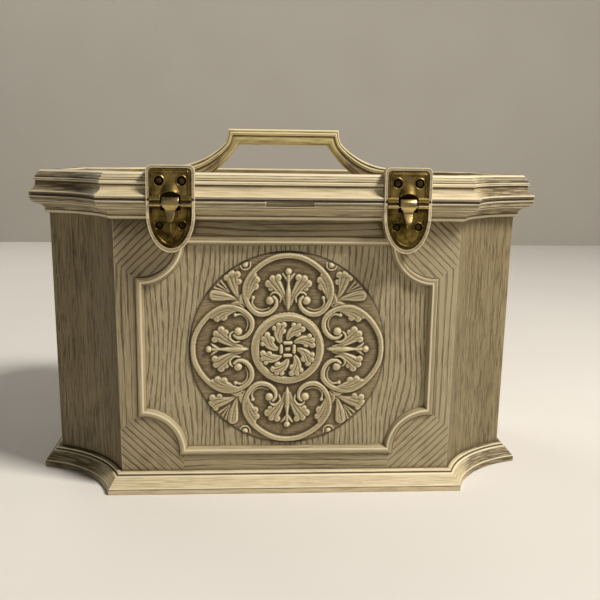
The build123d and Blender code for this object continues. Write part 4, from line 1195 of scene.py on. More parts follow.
# Beside the lobes that stand up and down: a boss in a hook near the rim
HOOK: list[tuple[Cut, Marks]] = [
    (Cut.ROUND, [(out, side, 0.65, 1.7) for out, side in (
        (62.0, 17.2), (59.4, 16.8), (57.2, 18.6), (57.0, 21.4), (58.8, 23.4))]),
    (Cut.BOSS, [(60.2, 20.2, 2.3, 2.3)]),
]
# Whirling leaf of the rosette as rows of (radius, degrees from its root, half width, height or depth)
WHIRL: list[tuple[Cut, Marks]] = [
    (Cut.BLADE, [(6.0, -8, 1.0, 1.4), (9.6, 0, 2.2, 2.1), (13.0, 10, 3.3, 2.35), (15.2, 19, 3.2, 2.35)]),
    (Cut.TIP, [(17.0, 29, 2.25, 2.15), (17.8, 18, 2.05, 2.15), (17.2, 7, 1.85, 2.15), (12.8, 25, 1.95, 2.15)]),
    (Cut.VEIN, [(7.5, -4, 0.22, 0.5), (12.0, 7, 0.32, 1.1), (16.8, 25, 0.3, 1.1)]),
    (Cut.VEIN, [(9.5, -4, 0.22, 0.5), (14.0, 6, 0.3, 1.0), (18.0, 13, 0.26, 0.9)]),
    (Cut.VEIN, [(8.5, 4, 0.22, 0.5), (12.0, 16, 0.3, 1.0), (14.8, 29, 0.26, 0.9)]),
]


@dataclass
class Medallion:
    """Round acanthus carving on the front panel: four lobes round a rosette."""

    plan: Plan
    radius: float = 66.4
    spread: float = 1.013
    field_sink: float = 2.2
    steps: int = 312
    ground: float = 0.30
    spandrel: float = 0.62
    ring_radius: float = 21.7
    ring_half: float = 2.45
    ring_top: float = 1.85
    big_tip: float = 0.5
    lobe_radius: float = 29.0
    middle_radius: float = 26.0
    leaves: int = 8
    leaf_turn: float = 6.0
    leaf_ground: float = 0.22
    eye_radius: float = 6.4
    eye_ground: float = 0.3

    def turned(self, marks: Marks, turn: float, flip: int) -> Marks:
        """Turn (outward, sideways, half width, height) marks of one lobe into its place.

        Args:
            marks: outward distance and sideways distance from the medallion's middle, and the rest.
            turn: clockwise angle of the lobe from straight up, in degrees.
            flip: one, or minus one for the mirrored half.

        Returns:
            The marks in (u, v) with their half widths and heights.
        """
        c, s = math.cos(math.radians(turn)), math.sin(math.radians(turn))
        scaled = [(out * self.spread, side * flip * self.spread, *rest) for out, side, *rest in marks]
        return [(side * c + out * s, out * c - side * s, *rest) for out, side, *rest in scaled]

    def carve(self) -> Relief:
        """Carve every part of the ornament.

        Returns:
            The finished height field.
        """
        relief = Relief(self.radius + 1.0, self.steps)
        relief.height[:] = self.spandrel
        for turn in QUARTERS:
            u, v = LOBE_MIDDLE * math.sin(math.radians(turn)), LOBE_MIDDLE * math.cos(math.radians(turn))
            relief.height[np.hypot(relief.u - u, relief.v - v) < self.lobe_radius] = self.ground
        relief.height[relief.far < self.middle_radius] = self.ground
        for turn in QUARTERS:
            for forms, flip in ((HALF_LOBE, 1), (HALF_LOBE, -1), (LOBE_STEM, 1)):
                for form, marks in forms:
                    relief.cut(form, self.turned(marks, turn, flip))
        for turn, flip in ((45, 1), (315, -1), (135, 1), (225, -1)):
            for form, marks in BETWEEN:
                relief.cut(form, self.turned(marks, turn, flip))
            for form, marks in HOOK:
                relief.cut(form, self.turned(marks, turn, -flip if turn in (45, 315) else flip))
        self.rosette(relief)
        relief.height = np.maximum(relief.softened(0.17), 0.12)
        edge = np.clip((self.radius - 0.5 - relief.far) / 1.4, 0, 1)
        relief.height = 0.06 + (relief.height - 0.06) * np.sqrt(edge)
        return relief

    def rosette(self, relief: Relief) -> None:
        """Carve the grooved ring, the eight whirling leaves and the square eye.

        Args:
            relief: the height field.
        """
        off = relief.far - self.ring_radius
        share = np.clip(np.abs(off) / self.ring_half, 0, 1)
        band = self.ring_top * (1 - share**6) ** 0.5 - 0.3 * np.exp(-(((off + 1.3) / 0.35) ** 2))
        relief.height = np.where(share < 1, np.maximum(relief.height, band), relief.height)
        relief.height[relief.far < self.ring_radius - self.ring_half] = self.leaf_ground
        for number in range(self.leaves):
            for form, marks in WHIRL:
                placed_marks = []
                for mark, (radius, angle, half, top) in enumerate(marks):
                    # Every other leaf has a bigger last tip
                    half += self.big_tip if form is Cut.TIP and mark == 3 and number % 2 == 0 else 0.0
                    a = math.radians(360 / self.leaves * number + self.leaf_turn + angle)
                    placed_marks.append((radius * math.sin(a), radius * math.cos(a), half, top))
                relief.cut(form, placed_marks)
        relief.height[relief.far < self.eye_radius] = self.eye_ground
        for turn in QUARTERS:
            relief.cut(Cut.FLAT, self.turned([(4.3, -2.1, 1.1, 2.2), (4.3, 2.1, 1.1, 2.2)], turn, 1))
        relief.cut(Cut.ROUND, [(-0.7, 0.0, 1.6, 1.7), (0.7, 0.0, 1.6, 1.7)])

    def build(self, look: Material) -> None:
        """Make the carving a closed piece that stands on the field.

        Args:
            look: material of the carving.
        """
        relief = self.carve()
        height, low, near = relief.height, relief.softened(1.5), relief.softened(0.55)
        hollow = np.clip((low - height) / 0.45, 0, 1) * 0.8 + np.clip((0.9 - height) / 0.6, 0, 1) * 0.42
        hollow += 0.5 * (relief.far > self.radius - 0.7)
        crest = np.clip((height - near) / 0.16, 0, 1) * np.clip((height - 0.9) / 0.6, 0, 1)
        crest += 0.22 * np.clip((height - low) / 0.6, 0, 1) * np.clip((height - 1.2) / 0.8, 0, 1)
        step = relief.line[1] - relief.line[0]
        mesh, _, _ = grid(self.steps, self.steps, relief.half)
        layers = [mesh.verts.layers.float.new(name) for name in ("hollow", "crest")]
        outside = [f for f in mesh.faces if min(v.co.length for v in f.verts) >= self.radius]
        bmesh.ops.delete(mesh, geom=outside, context="FACES")
        for vert in mesh.verts:
            pull = min(1.0, self.radius / max(vert.co.length, 1.0))
            u, v = vert.co.x * pull, vert.co.y * pull
            i, j = (min(max(round((w + relief.half) / step), 0), self.steps) for w in (u, v))
            vert[layers[0]], vert[layers[1]] = float(hollow[i, j]), float(crest[i, j])
            vert.co = self.plan.front(u, MEDALLION_Z + v, float(height[i, j]) - self.field_sink)
        close_behind(mesh, lambda co: (co.x, co.y + 0.7, co.z))
        finished("medallion_carving", mesh, "case", look)


@dataclass
class Shell:
    """A CAD shell that stays in sight; its faces get their finishes by their place."""

    plan: Plan

    def kind(self, centre: Vector, normal: Vector) -> str:
        """Name the finish of a face; each shell has its own rules.

        Args:
            centre: middle of the face, in millimetres.
            normal: its outward normal.

        Returns:
            Name of the finish.
        """
        raise NotImplementedError

    def dress(self, node: bpy.types.Object, looks: dict[str, Material]) -> None:
        """Give each face of the node its finish.

        Args:
            node: the CAD node.
            looks: material of each finish that kind names.
        """
        node.data.materials.clear()
        order = list(looks)
        for look in looks.values():
            node.data.materials.append(look)
        for face in node.data.polygons:
            face.material_index = order.index(self.kind(face.center / MM, face.normal))
        LOG.info("%s dressed in %d finishes", node.name, len(order))


@dataclass
class CaseShell(Shell):
    """Case moulding with walls, front panel, plinth, cornice and latch pads."""

    plinth_top: float = 13.0
    cornice_foot: float = 185.8
    panel_sink: float = 3.2
    field_sunk: float = -1.3
    pad_proud: float = 6.0
    bead_reach: float = 4.0

    def kind(self, centre: Vector, normal: Vector) -> str:
        """Name the finish of a face.

        Args:
            centre: middle of the face, in millimetres.
            normal: its outward normal.

        Returns:
            One of inside, moulding, pad, field, bead, frame or wall.
        """
        out, wall = self.plan.outward(*centre)
        sunk = abs(out) < self.panel_sink and wall == "front"
        if centre.z < 0.1 or (out < -1.0 and not sunk) or abs(centre.z - SEAM_Z) < 0.05:
            return "inside"
        if centre.z > self.cornice_foot or centre.z < self.plinth_top:
            return "moulding"
        if wall != "front":
            return "wall"
        if out > self.pad_proud:
            return "pad"
        if out < self.field_sunk:
            return "field"
        if abs(normal.y) > 0.99 and abs(out) < 0.4:
            return "frame"
        beside = abs(centre.x) - PANEL_HALF_WIDTH
        above = abs(centre.z - PANEL_MIDDLE_Z) - PANEL_HALF_HEIGHT
        return "bead" if max(beside, above) < self.bead_reach else "frame"


@dataclass
class LidShell(Shell):
    """Lid moulding: outer moulding, recessed top and hidden inner side."""

    pad_face: float = 108.0
    recess_floor: float = 206.7
    wall_from: float = -5.5
    wall_to: float = 4.2
    wall_top: float = 213.0
    rim_in: float = -6.5
    inward: float = -20.0

    def kind(self, centre: Vector, normal: Vector) -> str:
        """Name the finish of a face.

        Args:
            centre: middle of the face, in millimetres.
            normal: its outward normal.

        Returns:
            One of moulding, pad, top, recess or inside.
        """
        on_pad = abs(abs(centre.x) - LATCH_X) < PAD_HALF_WIDTH + 0.3 and centre.y < -self.pad_face
        if on_pad and centre.z > LID_BOTTOM + 0.1:
            return "pad"
        out, _ = self.plan.outward(*centre)
        inner_wall = self.wall_from < out < self.wall_to and centre.z < self.wall_top and abs(normal.z) < 0.5
        if normal.z < -0.5 or inner_wall:
            return "inside"
        # The inner walls of the top recess get the darker recess finish, as painted shade
        if centre.z > self.recess_floor and normal.xy.dot(centre.xy) < self.inward:
            return "recess"
        return "top" if out < self.rim_in else "moulding"


@dataclass
class BailHandle:
    """Moulded bail: a bar between two sweeping arms, with an outer band that stands proud.

    The profile is the section's (share from the outer edge to the inner one, half thickness, mark).
    """

    top_z: float = 246.7
    underside_z: float = 235.2
    bar_end: float = 42.1
    step_x: float = 44.4
    inner_end: float = 34.1
    step_z: float = 236.5
    bend_x: float = 42.4
    bend_z: float = 239.2
    bend_share: float = 0.16
    arc_x: float = 82.0
    arc_z: float = 267.1
    outer_radius: float = 48.5
    inner_radius: float = 57.5
    waist: float = 0.9
    belly: float = 3.6
    end_x: float = 83.5
    bar_steps: int = 20
    arm_steps: int = 44
    profile: Section = (
        (0.0, 4.6, ""), (0.02, 5.7, "c"), (0.06, 6.35, "c"), (0.12, 6.45, ""), (0.15, 6.15, ""), (0.19, 6.15, ""),
        (0.22, 6.5, "c"), (0.27, 6.6, "c"), (0.31, 6.4, ""), (0.34, 6.35, ""), (0.37, 6.35, "c"), (0.40, 6.1, ""),
        (0.43, 5.3, "g"), (0.48, 5.15, ""), (0.52, 5.35, ""), (0.62, 5.6, ""), (0.78, 5.6, ""), (0.90, 5.35, ""),
        (0.97, 4.7, ""), (1.0, 3.6, ""),
    )

    def swing(self, x: float, z: float, t: float) -> float:
        """Angle about the arc's centre at a share t of the way from a point to straight down."""
        start = math.atan2(z - self.arc_z, x - self.arc_x)
        return start + t * (-math.pi / 2 - start - (0 if start < 0 else math.tau))

    def on_arc(self, radius: float, angle: float) -> Vector:
        """Point of the middle plane at a radius and angle about the arc's centre."""
        return Vector((self.arc_x + radius * math.cos(angle), 0, self.arc_z + radius * math.sin(angle)))

    def stations(self) -> list[tuple[Vector, Vector]]:
        """Walk the handle from the left end to the right.

        Returns:
            Pairs of outer and inner points in the middle plane.
        """
        top, bend, step = (
            Vector((x, 0, z))
            for x, z in ((self.bar_end, self.top_z), (self.bend_x, self.bend_z), (self.step_x, self.step_z))
        )
        right = []
        for t in (i / self.bar_steps for i in range(self.bar_steps + 1)):
            upper, lower = (t * self.bar_end, 0, self.top_z), (t * self.inner_end, 0, self.underside_z)
            right.append((Vector(upper), Vector(lower)))
        for t in (i / self.arm_steps for i in range(1, self.arm_steps + 1)):
            grip = self.inner_radius + self.belly * math.sin(math.pi * t**1.94)
            hand = self.on_arc(grip, self.swing(self.inner_end, self.underside_z, t))
            if t <= self.bend_share:
                fall = t / self.bend_share
                face = top.lerp(bend, fall).lerp(bend.lerp(step, fall), fall)
            else:
                s = (t - self.bend_share) / (1 - self.bend_share)
                reach = self.outer_radius - self.waist * math.sin(math.pi * s)
                face = self.on_arc(reach, self.swing(self.step_x, self.step_z, s))
            right.append((face, hand))
        right.append(tuple(Vector((self.end_x, 0, self.arc_z - r)) for r in (self.outer_radius, self.inner_radius)))
        left = [(Vector((-a.x, 0, a.z)), Vector((-b.x, 0, b.z))) for a, b in reversed(right[1:])]
        return left + right

    def build(self, look: Material) -> None:
        """Draw the section along the stations, as the piece that stands for the CAD handle.

        Args:
            look: material of the handle.
        """
        ring = [(s, -d, mark) for s, d, mark in self.profile] + list(reversed(self.profile))
        ring = ring[-1:] + ring[:-1]
        rings = [[outer.lerp(inner, s) + Vector((0, d, 0)) for s, d, _ in ring] for outer, inner in self.stations()]
        piece = finished("bail_handle", swept(rings, ring), "handle", look, sharp=45.0)
        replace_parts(piece, "handle")


@dataclass
class BracketCushion:
    """Cushion moulded on top of a handle bracket, with a groove round a low crown."""

    side: Side
    middle_x: float = 93.1
    top_z: float = 218.2
    half_width: float = 7.55
    half_depth: float = 5.15
    corner: float = 1.6
    sink: float = 0.3
    steps: tuple[int, int] = (60, 42)

    def build(self, look: Material) -> None:
        """Press the cushion out of a fine grid and close it below.

        Args:
            look: material of the cushion.
        """
        mesh, x, y = grid(*self.steps)
        half_x, half_y = self.half_width, self.half_depth
        x, y, edge = rounded(x * half_x, y * half_y, half_x, half_y, self.corner)
        rise = 0.75 * np.sqrt(np.maximum(0.0, 1 - np.maximum(0.0, 1 - edge / 1.1) ** 2))
        rise += 0.3 * np.clip((edge - 2.1) / 2.6, 0, 1) - 0.38 * ridge(edge, 1.75, 0.3)
        for vert, vx, vy, vz in zip(mesh.verts, x, y, rise):
            vert.co = (self.side.value * self.middle_x + vx, vy, self.top_z + vz)
        close_behind(mesh, lambda co: (co.x, co.y, self.top_z - self.sink))
        finished(f"bracket_cushion_{self.side.word}", mesh, "lid", look, sharp=60.0)


def roll(z: np.ndarray, middle: float, radius: float, height: float) -> np.ndarray:
    """Half-round roll across a plate, at height middle."""
    return height * np.sqrt(np.clip(1 - ((z - middle) / radius) ** 2, 0, 1))


def ridge(place: np.ndarray, middle: float, width: float) -> np.ndarray:
    """Soft ridge of height one."""
    return np.exp(-(((place - middle) / width) ** 2))


def past(place: np.ndarray, edge: float, width: float) -> np.ndarray:
    """Soft step from zero before an edge to one past it."""
    return 1 / (1 + np.exp((edge - place) / width))


class Plate(Enum):
    """The two plates of a latch and the bodies that they ride on."""

    KEEPER = "lid"
    SHIELD = "case"


@dataclass
class PressedLatch:
    """Sheet-brass snap latch: keeper plate on the lid, shield on the case, lever between them.

    The lever's path is its (forward, up from the pivot, half width), the rivet's outline (radius, rise).
    """

    side: Side
    half_width: float = 13.3
    plate_back: float = 115.303
    plate_front: float = 116.103
    pivot_out: float = 116.903
    pivot_z: float = 195.5
    keeper_low: float = 197.5
    keeper_high: float = 218.3
    keeper_corner: float = 3.0
    shield_mid: float = 190.0
    shield_drop: float = 22.0
    shield_top: float = 196.9
    hood_top: float = 211.8
    hood_drop: float = 8.6
    hood_rise: float = 2.9
    slot_half: float = 6.1
    slot_top: float = 201.5
    slot_arch: float = 2.3
    slot_deep: float = 0.72
    roll_z: float = 199.4
    roll_radius: float = 1.95
    crease_low: float = 171.5
    crease_high: float = 184.2
    knuckle_foot: float = 194.0
    knuckle_z: float = 195.45
    slit_half: float = 6.2
    grid_step: float = 0.2
    grid_across: int = 134
    slot_shade_from: float = 0.28
    slot_shade_to: float = 0.79
    rivet_spread: float = 7.1
    keeper_rivet_z: float = 210.4
    shield_rivet_z: float = 182.5
    lever_steps: int = 56
    lever_across: int = 24
    tongue_step: int = 26
    strap_crown: float = 0.5
    tongue_crown: float = 0.12
    rivet_sides: int = 28
    sheet: float = 0.8
    lever_path: Section = (
        (0.7, 4.9, 5.2), (1.5, 4.1, 5.35), (2.35, 2.9, 5.4), (2.8, 1.2, 5.4), (2.85, -0.3, 5.1), (2.5, -1.5, 4.7),
        (1.9, -2.4, 3.7), (1.45, -3.2, 3.2), (1.6, -4.4, 3.0), (2.4, -6.1, 2.75), (3.4, -8.0, 2.35), (4.2, -9.5, 1.9),
        (4.5, -10.2, 1.3), (4.6, -10.6, 0.4),
    )
    rivet_outline: Section = ((2.3, -0.5), (2.25, -0.1), (1.9, 0.18), (1.2, 0.34), (0.6, 0.2), (0.0, 0.12))

    @property
    def middle(self) -> float:
        """X of the latch's centre line."""
        return self.side.value * LATCH_X

    def dishes(
        self, x: np.ndarray, z: np.ndarray, rivet_z: float, ring: float, dish: float, depth: float
    ) -> np.ndarray:
        """Lift of the raised ring and the dish round each of a plate's two rivets.

        Args:
            x: distance from the centre line.
            z: height in the box.
            rivet_z: height of the rivets.
            ring: radius of the raised ring.
            dish: radius of the dish inside it.
            depth: depth of the dish.

        Returns:
            Lift in millimetres.
        """
        lift = np.zeros_like(x)
        for sign in (-1, 1):
            far = np.hypot(x - sign * self.rivet_spread, z - rivet_z)
            lift += 0.55 * ridge(far, ring, 0.36) - depth * past(-far, -dish, 0.12)
        return lift

    def press_keeper(self, x: np.ndarray, z: np.ndarray, edge: np.ndarray) -> np.ndarray:
        """Lift of the keeper's sheet in front of its plane.

        Args:
            x: distance from the centre line.
            z: height in the box.
            edge: distance inside the plate's edge.

        Returns:
            Lift in millimetres.
        """
        lift = 0.35 * ridge(edge, 0.5, 0.42) + 0.8 * ridge(edge, 1.95, 0.5) + 0.22 * past(edge, 2.9, 0.12)
        lift += self.dishes(x, z, self.keeper_rivet_z, ring=3.25, dish=2.85, depth=1.0)
        # Hood over the slot, the slot itself, and the rolled lower edge on both sides of it
        reach = np.clip((self.hood_top - z) / self.hood_drop, 0, 1)
        wide = 3.2 + 3.1 * reach
        hood = self.hood_rise * reach**1.25 * np.clip(1 - (x / wide) ** 2, 0, 1) ** 0.9
        raised = np.maximum(lift, 0)
        lift = np.where(hood >= 0.02, np.maximum(raised, hood), raised) + np.minimum(lift, 0)
        arc = self.slot_top + self.slot_arch * np.clip(1 - (x / self.slot_half) ** 2, 0, 1)
        lift = np.where((np.abs(x) < self.slot_half) & (z < arc), -self.slot_deep, lift)
        edge_roll = roll(z, self.roll_z, self.roll_radius, 1.25)
        return np.where((np.abs(x) > self.slot_half + 0.2) & (z < self.roll_z + 2.0), edge_roll, lift)

    def press_shield(self, x: np.ndarray, z: np.ndarray) -> np.ndarray:
        """Lift of the shield's sheet in front of its plane.

        Args:
            x: distance from the centre line.
            z: height in the box.

        Returns:
            Lift in millimetres.
        """
        below = np.minimum(z - self.shield_mid, 0)
        form = np.hypot(x / self.half_width, below / self.shield_drop)
        slope = np.hypot(x / self.half_width**2, below / self.shield_drop**2) / np.maximum(form, 1e-6)
        edge = (1 - form) / np.maximum(slope, 1e-6)
        lift = 0.25 * ridge(edge, 0.45, 0.4) + 0.75 * ridge(edge, 2.1, 0.5) + 0.15 * past(edge, 3.0, 0.15)
        lift += self.dishes(x, z, self.shield_rivet_z, ring=2.85, dish=2.3, depth=0.7)
        # Crease below the tongue, dish behind it, knuckles above, and the slits round the lever
        run = np.clip((z - self.crease_low) / 3.0, 0, 1) * np.clip((self.crease_high - z) / 2.6, 0, 1)
        lift += np.exp(-np.abs(x + 0.4) / 1.5) * run
        lift -= 0.34 * past(-np.abs(x), -4.4, 0.3) * past(z, self.crease_high + 0.2, 0.3)
        knuckles = roll(z, self.knuckle_z, 1.5, 2.45) * (np.abs(x) > self.slit_half)
        lift = np.where(z > self.knuckle_foot - 0.1, knuckles, lift)
        slit = (np.abs(x) < self.slit_half) & (z > self.knuckle_foot - 2.0)
        return np.where((z > self.shield_top - 0.02) | slit, -0.3, lift)

    def press(self, plate: Plate, looks: tuple[Material, Material, Material]) -> bpy.types.Object:
        """Press one plate out of a fine grid.

        Args:
            plate: keeper or shield.
            looks: materials of the plate, of the painted shade in its slots, and of the shield's knuckles,
                whose brighter brass is partly a painted highlight.

        Returns:
            The piece.
        """
        keeper = plate is Plate.KEEPER
        low, high = self.shield_mid - self.shield_drop, self.shield_top
        if keeper:
            low, high = self.keeper_low, self.keeper_high
        mesh, x, z = grid(self.grid_across, int((high - low) / self.grid_step))
        x, z = x * self.half_width, low + (z + 1) / 2 * (high - low)
        if keeper:
            # The rounded rectangle reaches far below the plate, which takes in its two upper corners alone
            x, z, edge = rounded(x, z, self.half_width, self.keeper_high, self.keeper_corner)
            lift = self.press_keeper(x, z, edge)
        else:
            a, b = x / self.half_width, np.minimum(z - self.shield_mid, 0) / self.shield_drop
            shrink = np.where(b < 0, squeeze(np.abs(a), np.abs(b)), 1)
            x = x * shrink
            z = np.where(b < 0, self.shield_mid + b * self.shield_drop * shrink, z)
            lift = self.press_shield(x, z)
        for vert, vx, vz, rise in zip(mesh.verts, x, z, lift):
            vert.co = (self.middle + vx, -(self.plate_front + rise), vz)
        close_behind(mesh, lambda co: (co.x, -self.plate_back, co.z))
        for face in mesh.faces:
            # Painted shade on faces that lie behind the sheet; the knuckles' brighter brass is rubbed by thumbs and
            # partly a painted highlight
            middle = face.calc_center_median()
            sunk = middle.y + self.plate_front
            face.material_index = int(face.normal.y < -0.3 and self.slot_shade_from < sunk < self.slot_shade_to)
            if not keeper and middle.z > self.knuckle_foot and sunk < -0.3:
                face.material_index = 2
        name = f"{plate.name.lower()}_dress_{self.side.word}"
        piece = finished(name, mesh, plate.value, looks[0])
        for look in looks[1:]:
            piece.data.materials.append(look)
        return piece

    def lever(self, look: Material) -> None:
        """Form the lever: a crowned strap over the pin that ends in a flared thumb tongue.

        Args:
            look: material.
        """
        path = np.array(self.lever_path)
        steps = np.linspace(0, len(path) - 1, self.lever_steps + 1)
        forward, up, half = (np.interp(steps, range(len(path)), path[:, k]) for k in range(3))
        mesh, across, along = grid(self.lever_across, self.lever_steps)
        for vert, a, b in zip(mesh.verts, across, along):
            i = round((1 - b) / 2 * self.lever_steps)
            crown = self.strap_crown if i < self.tongue_step else self.tongue_crown
            out = forward[i] - crown * a * a
            vert.co = (self.middle + a * half[i], -(self.pivot_out + out), self.pivot_z + up[i])
        bmesh.ops.recalc_face_normals(mesh, faces=mesh.faces)
        if mesh.faces[:][0].normal.y > 0:
            bmesh.ops.reverse_faces(mesh, faces=mesh.faces)
        bmesh.ops.solidify(mesh, geom=mesh.faces[:], thickness=self.sheet)
        bmesh.ops.recalc_face_normals(mesh, faces=mesh.faces)
        node = f"latch_lever_{self.side.word}"
        piece = finished(f"latch_lever_dress_{self.side.word}", mesh, node, look)
        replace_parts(piece, node)

    def rivet(self, name: str, x: float, z: float, body: str, look: Material) -> bpy.types.Object:
        """Spin a low domed rivet head with a dished middle.

        Args:
            name: name of the piece.
            x: distance from the centre line.
            z: height in the box.
            body: CAD body it rides on.
            look: material.

        Returns:
            The piece.
        """
        mesh = bmesh.new()
        points = [mesh.verts.new((radius, 0, rise)) for radius, rise in self.rivet_outline]
        for pair in zip(points, points[1:]):
            mesh.edges.new(pair)
        geom = mesh.verts[:] + mesh.edges[:]
        turn = {"cent": (0, 0, 0), "axis": (0, 0, 1), "angle": math.tau, "steps": self.rivet_sides}
        bmesh.ops.spin(mesh, geom=geom, use_merge=True, **turn)
        bmesh.ops.remove_doubles(mesh, verts=mesh.verts, dist=0.001)
        bmesh.ops.holes_fill(mesh, edges=[e for e in mesh.edges if e.is_boundary], sides=0)
        bmesh.ops.recalc_face_normals(mesh, faces=mesh.faces)
        bmesh.ops.rotate(mesh, verts=mesh.verts, matrix=Matrix.Rotation(math.radians(90), 3, "X"))
        bmesh.ops.translate(mesh, verts=mesh.verts, vec=(self.middle + x, -self.plate_front, z))
        return finished(name, mesh, body, look)

    def build(self, looks: dict[str, Material]) -> None:
        """Build keeper, shield, lever and rivets.

        Args:
            looks: the materials by name; the shield is more tarnished than the keeper, and thumbs
                keep the lever and the knuckles bright; the knuckles' brightness is partly a painted highlight,
                and the slots get painted shade.
        """
        word = self.side.word
        # The slot material is painted shade, and the rubbed brass of the knuckles is partly a painted highlight
        worn = looks["brass_under_grime"], looks["pressed_brass_rubbed"]
        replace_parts(self.press(Plate.KEEPER, (looks["pressed_brass_aged"], *worn)), f"latch_keeper_{word}")
        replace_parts(self.press(Plate.SHIELD, (looks["pressed_brass_dark"], *worn)), f"latch_plate_{word}")
        self.lever(looks["pressed_brass_rubbed"])
        dark = looks["brass_rivet_tarnished"]
        rivets = ("keeper_rivet", "lid", self.keeper_rivet_z), ("plate_rivet", "case", self.shield_rivet_z)
        for part, body, z in rivets:
            for sign in (-1, 1):
                place = "outer" if sign == self.side.value else "inner"
                head = self.rivet(f"{part}_dress_{place}_{word}", sign * self.rivet_spread, z, body, dark)
                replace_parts(head, f"{part}_{place}_{word}")


@dataclass
class Studio:
    """Pale floor and backdrop, soft lamps, and the camera of the photograph.

    Each lamp is its name, its place and side in metres, its watts and its colour.
    """

    camera_mm: tuple[float, float, float] = (-26.44, -631.79, 225.93)
    pitch: float = 10.025
    yaw: float = 3.711
    roll: float = 0.778
    lens: float = 48.375
    paper_half: float = 6.0
    wall_y: float = 1.5
    wall_z: float = 5.9
    aim: tuple[float, float, float] = (0.0, 0.0, 0.12)
    glow: str = "#f3f2ee"
    glow_strength: float = 0.08
    lamps: tuple[tuple, ...] = (
        ("key_lamp", (1.02, -0.72, 1.58), 0.42, 42.0, "#fffaf3"),
        ("back_lamp", (-0.75, 1.2, 1.25), 0.9, 9.0, "#f7f4ee"),
        ("fill_lamp", (-0.2, -1.7, 0.7), 1.2, 1.0, "#f6f4f0"),
    )

    def camera(self) -> None:
        """Place the camera where the photograph was taken from."""
        p, y, r = (math.radians(a) for a in (self.pitch, self.yaw, self.roll))
        turn = Matrix.Rotation(-y, 4, "Z") @ Matrix.Rotation(math.pi / 2 - p, 4, "X") @ Matrix.Rotation(r, 4, "Z")
        data = bpy.data.cameras.new("photo_camera")
        data.sensor_fit = "HORIZONTAL"
        data.sensor_width = 36.0
        data.lens = self.lens
        data.clip_start = 0.01
        eye = bpy.data.objects.new("photo_camera", data)
        bpy.context.scene.collection.objects.link(eye)
        eye.matrix_world = Matrix.Translation(Vector(self.camera_mm) * MM) @ turn
        bpy.context.scene.camera = eye

    def light(self) -> None:
        """Hang the square area lamps, which face the box, and set the world's glow."""
        for name, place, size, power, colour in self.lamps:
            data = bpy.data.lights.new(name, "AREA")
            data.shape, data.size, data.energy, data.color = "SQUARE", size, power, linear(colour)[:3]
            lamp = bpy.data.objects.new(name, data)
            bpy.context.scene.collection.objects.link(lamp)
            lamp.location = place
            lamp.rotation_euler = (Vector(self.aim) - Vector(place)).to_track_quat("-Z", "Y").to_euler()
        world = bpy.data.worlds.new("studio_world")
        bpy.context.scene.world = world
        world.use_nodes = True
        glow = world.node_tree.nodes["Background"]
        glow.inputs["Color"].default_value = linear(self.glow)
        glow.inputs["Strength"].default_value = self.glow_strength

    def build(self) -> None:
        """Build floor, backdrop, lamps, world and camera."""
        bpy.context.scene.view_settings.view_transform = "Standard"
        floor = StudioPaper("studio_floor_paper", "#e7e3dc", "#e1dcd4")
        wall = StudioPaper("studio_wall_paper", "#bcb7ad", "#b4aea3")
        for name, paper in (("studio_floor", floor), ("studio_backdrop", wall)):
            mesh, _, _ = grid(8, 8, self.paper_half)
            if paper is wall:
                bmesh.ops.rotate(mesh, verts=mesh.verts, matrix=Matrix.Rotation(math.radians(90), 3, "X"))
                bmesh.ops.translate(mesh, verts=mesh.verts, vec=(0, self.wall_y, self.wall_z))
            placed(name, mesh, paper.material())
        self.light()
        self.camera()
        LOG.info("studio ready")


# Pitch and depth of the grain in millimetres, then the glaze in its grooves and all over
FINISHES = (
    GlazedMoulding("polystyrene_wall_grain", Grain.WALL, 1.0, 0.16, 0.72, 0.3, paint="#948561"),
    GlazedMoulding("polystyrene_field_grain", Grain.FIELD, 3.75, 0.35, 0.6, 0.3, paint="#b6a884"),
    GlazedMoulding("polystyrene_frame_grain", Grain.FRAME, 4.1, 0.28, 0.5, 0.3, paint="#b5a682"),
    GlazedMoulding("polystyrene_moulding", Grain.MOULDING, 1.5, 0.06, 0.25, 0.1),
    GlazedMoulding("polystyrene_drawn_moulding", Grain.SWEPT, 0.9, 0.08, 0.24, 0.16, glaze_at_ends=0.85),
    GlazedMoulding("polystyrene_panel_bead", Grain.SWEPT, 0.9, 0.06, 0.3, 0.16, paint="#b3a37d"),
    GlazedMoulding("polystyrene_cornice", Grain.SWEPT, 0.9, 0.08, 0.35, 0.3, paint="#c2b28d", glaze_at_ends=0.35),
    GlazedMoulding("polystyrene_inside", Grain.PLAIN, 3.0, 0.02, 0.06, 0.03),
    GlazedMoulding("polystyrene_pad", Grain.MOULDING, 1.5, 0.05, 0.3, 0.3, paint="#b4a47d"),
    # Darker paint and glaze on the inner walls of the lid's top recess, as painted shade
    GlazedMoulding("polystyrene_recess", Grain.MOULDING, 1.5, 0.05, 0.4, 0.5, paint="#8b7c58"),
    GlazedMoulding("polystyrene_carving", Grain.CARVED, 1.0, 0.07, 0.25, 0.25, paint="#a4936d", rubbed="#dccfa6"),
    GlazedMoulding("polystyrene_handle", Grain.SWEPT, 1.3, 0.05, 0.35, 0.35, paint="#d2c389", rubbed="#f6eabc",
                   glaze_at_ends=0.8, ends_from=41.0, ends_to=52.0),
    GlazedMoulding("polystyrene_lid_top", Grain.TOP, 2.2, 0.06, 0.25, 0.12),
    AgedBrass("pressed_brass_aged"),
    AgedBrass("pressed_brass_rubbed", "#e2c98c", "#6b5326", 0.45, 0.18),
    AgedBrass("pressed_brass_dark", "#b0964f", "#3a2c12", 0.7),
    AgedBrass("brass_rivet_tarnished", "#6e5a30", "#2a2012", 0.8, 0.4),
    # Near-black brass as painted shade in the latch's slots and slits
    AgedBrass("brass_under_grime", "#2c2312", "#120d06", 0.8, 0.6),
    PlainSteel("zinc_plated_steel"),
    IvoryTray("ivory_polystyrene"),
)
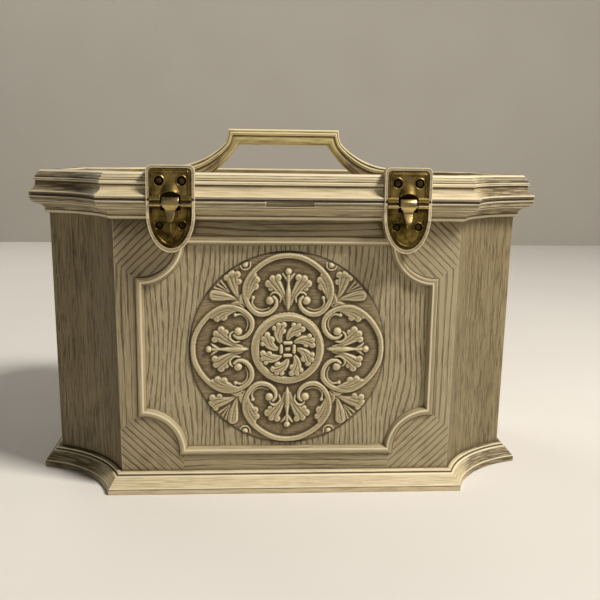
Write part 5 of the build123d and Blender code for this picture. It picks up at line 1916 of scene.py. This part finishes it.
# First words or parts of a CAD node's name that tell its finish; the other nodes are brass
NODE_LOOKS = (
    ("handle_bracket", "polystyrene_lid_top"), ("tray", "ivory_polystyrene"), ("spool_peg", "ivory_polystyrene"),
    ("rivet", "brass_rivet_tarnished"), ("screw", "zinc_plated_steel"), ("pin", "zinc_plated_steel"),
    ("spring", "zinc_plated_steel"),
)


def main() -> None:
    """Build the scene piece by piece."""
    logging.basicConfig(level=logging.INFO, format="%(message)s")
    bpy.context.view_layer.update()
    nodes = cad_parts
    plan = Plan()
    Studio().build()
    looks = {finish.name: finish.material() for finish in FINISHES}

    mould, drawn, bead = (looks[f"polystyrene_{name}"] for name in ("moulding", "drawn_moulding", "panel_bead"))
    pad, inside, top = (looks[f"polystyrene_{name}"] for name in ("pad", "inside", "lid_top"))
    wall, field, border = (looks[f"polystyrene_{name}_grain"] for name in ("wall", "field", "frame"))
    case = {"wall": wall, "field": field, "frame": border, "moulding": mould, "pad": pad, "bead": mould}
    CaseShell(plan).dress(nodes["case_shell"], case | {"inside": inside})
    lid = {"moulding": mould, "pad": pad, "top": top, "recess": looks["polystyrene_recess"], "inside": inside}
    LidShell(plan).dress(nodes["lid_shell"], lid)
    Medallion(plan).build(looks["polystyrene_carving"])
    PlanMoulding(plan, "lid_moulding", "lid", LID_BOTTOM, LID_SECTION).build(drawn)
    cornice = PlanMoulding(plan, "cornice_moulding", "case", SEAM_Z, CORNICE_SECTION, recess_half=15.3)
    cornice.build(looks["polystyrene_cornice"])
    PlanMoulding(plan, "plinth_moulding", "case", 0.0, PLINTH_SECTION, through=True).build(drawn)
    PanelBead(plan).build(bead)
    for side in Side:
        PadBead(side, "lid").build(bead)
        PadBead(side, "case").build(bead)
    BailHandle().build(looks["polystyrene_handle"])
    for side in Side:
        BracketCushion(side).build(top)
        PressedLatch(side).build(looks)

    for name, node in nodes.items():
        if name in ("case_shell", "lid_shell"):
            continue
        look = "polystyrene_handle" if name == "handle" else "pressed_brass_aged"
        look = next((finish for part, finish in NODE_LOOKS if part in name), look)
        node.data.materials.clear()
        node.data.materials.append(looks[look])


if __name__ == "__main__":
    main()
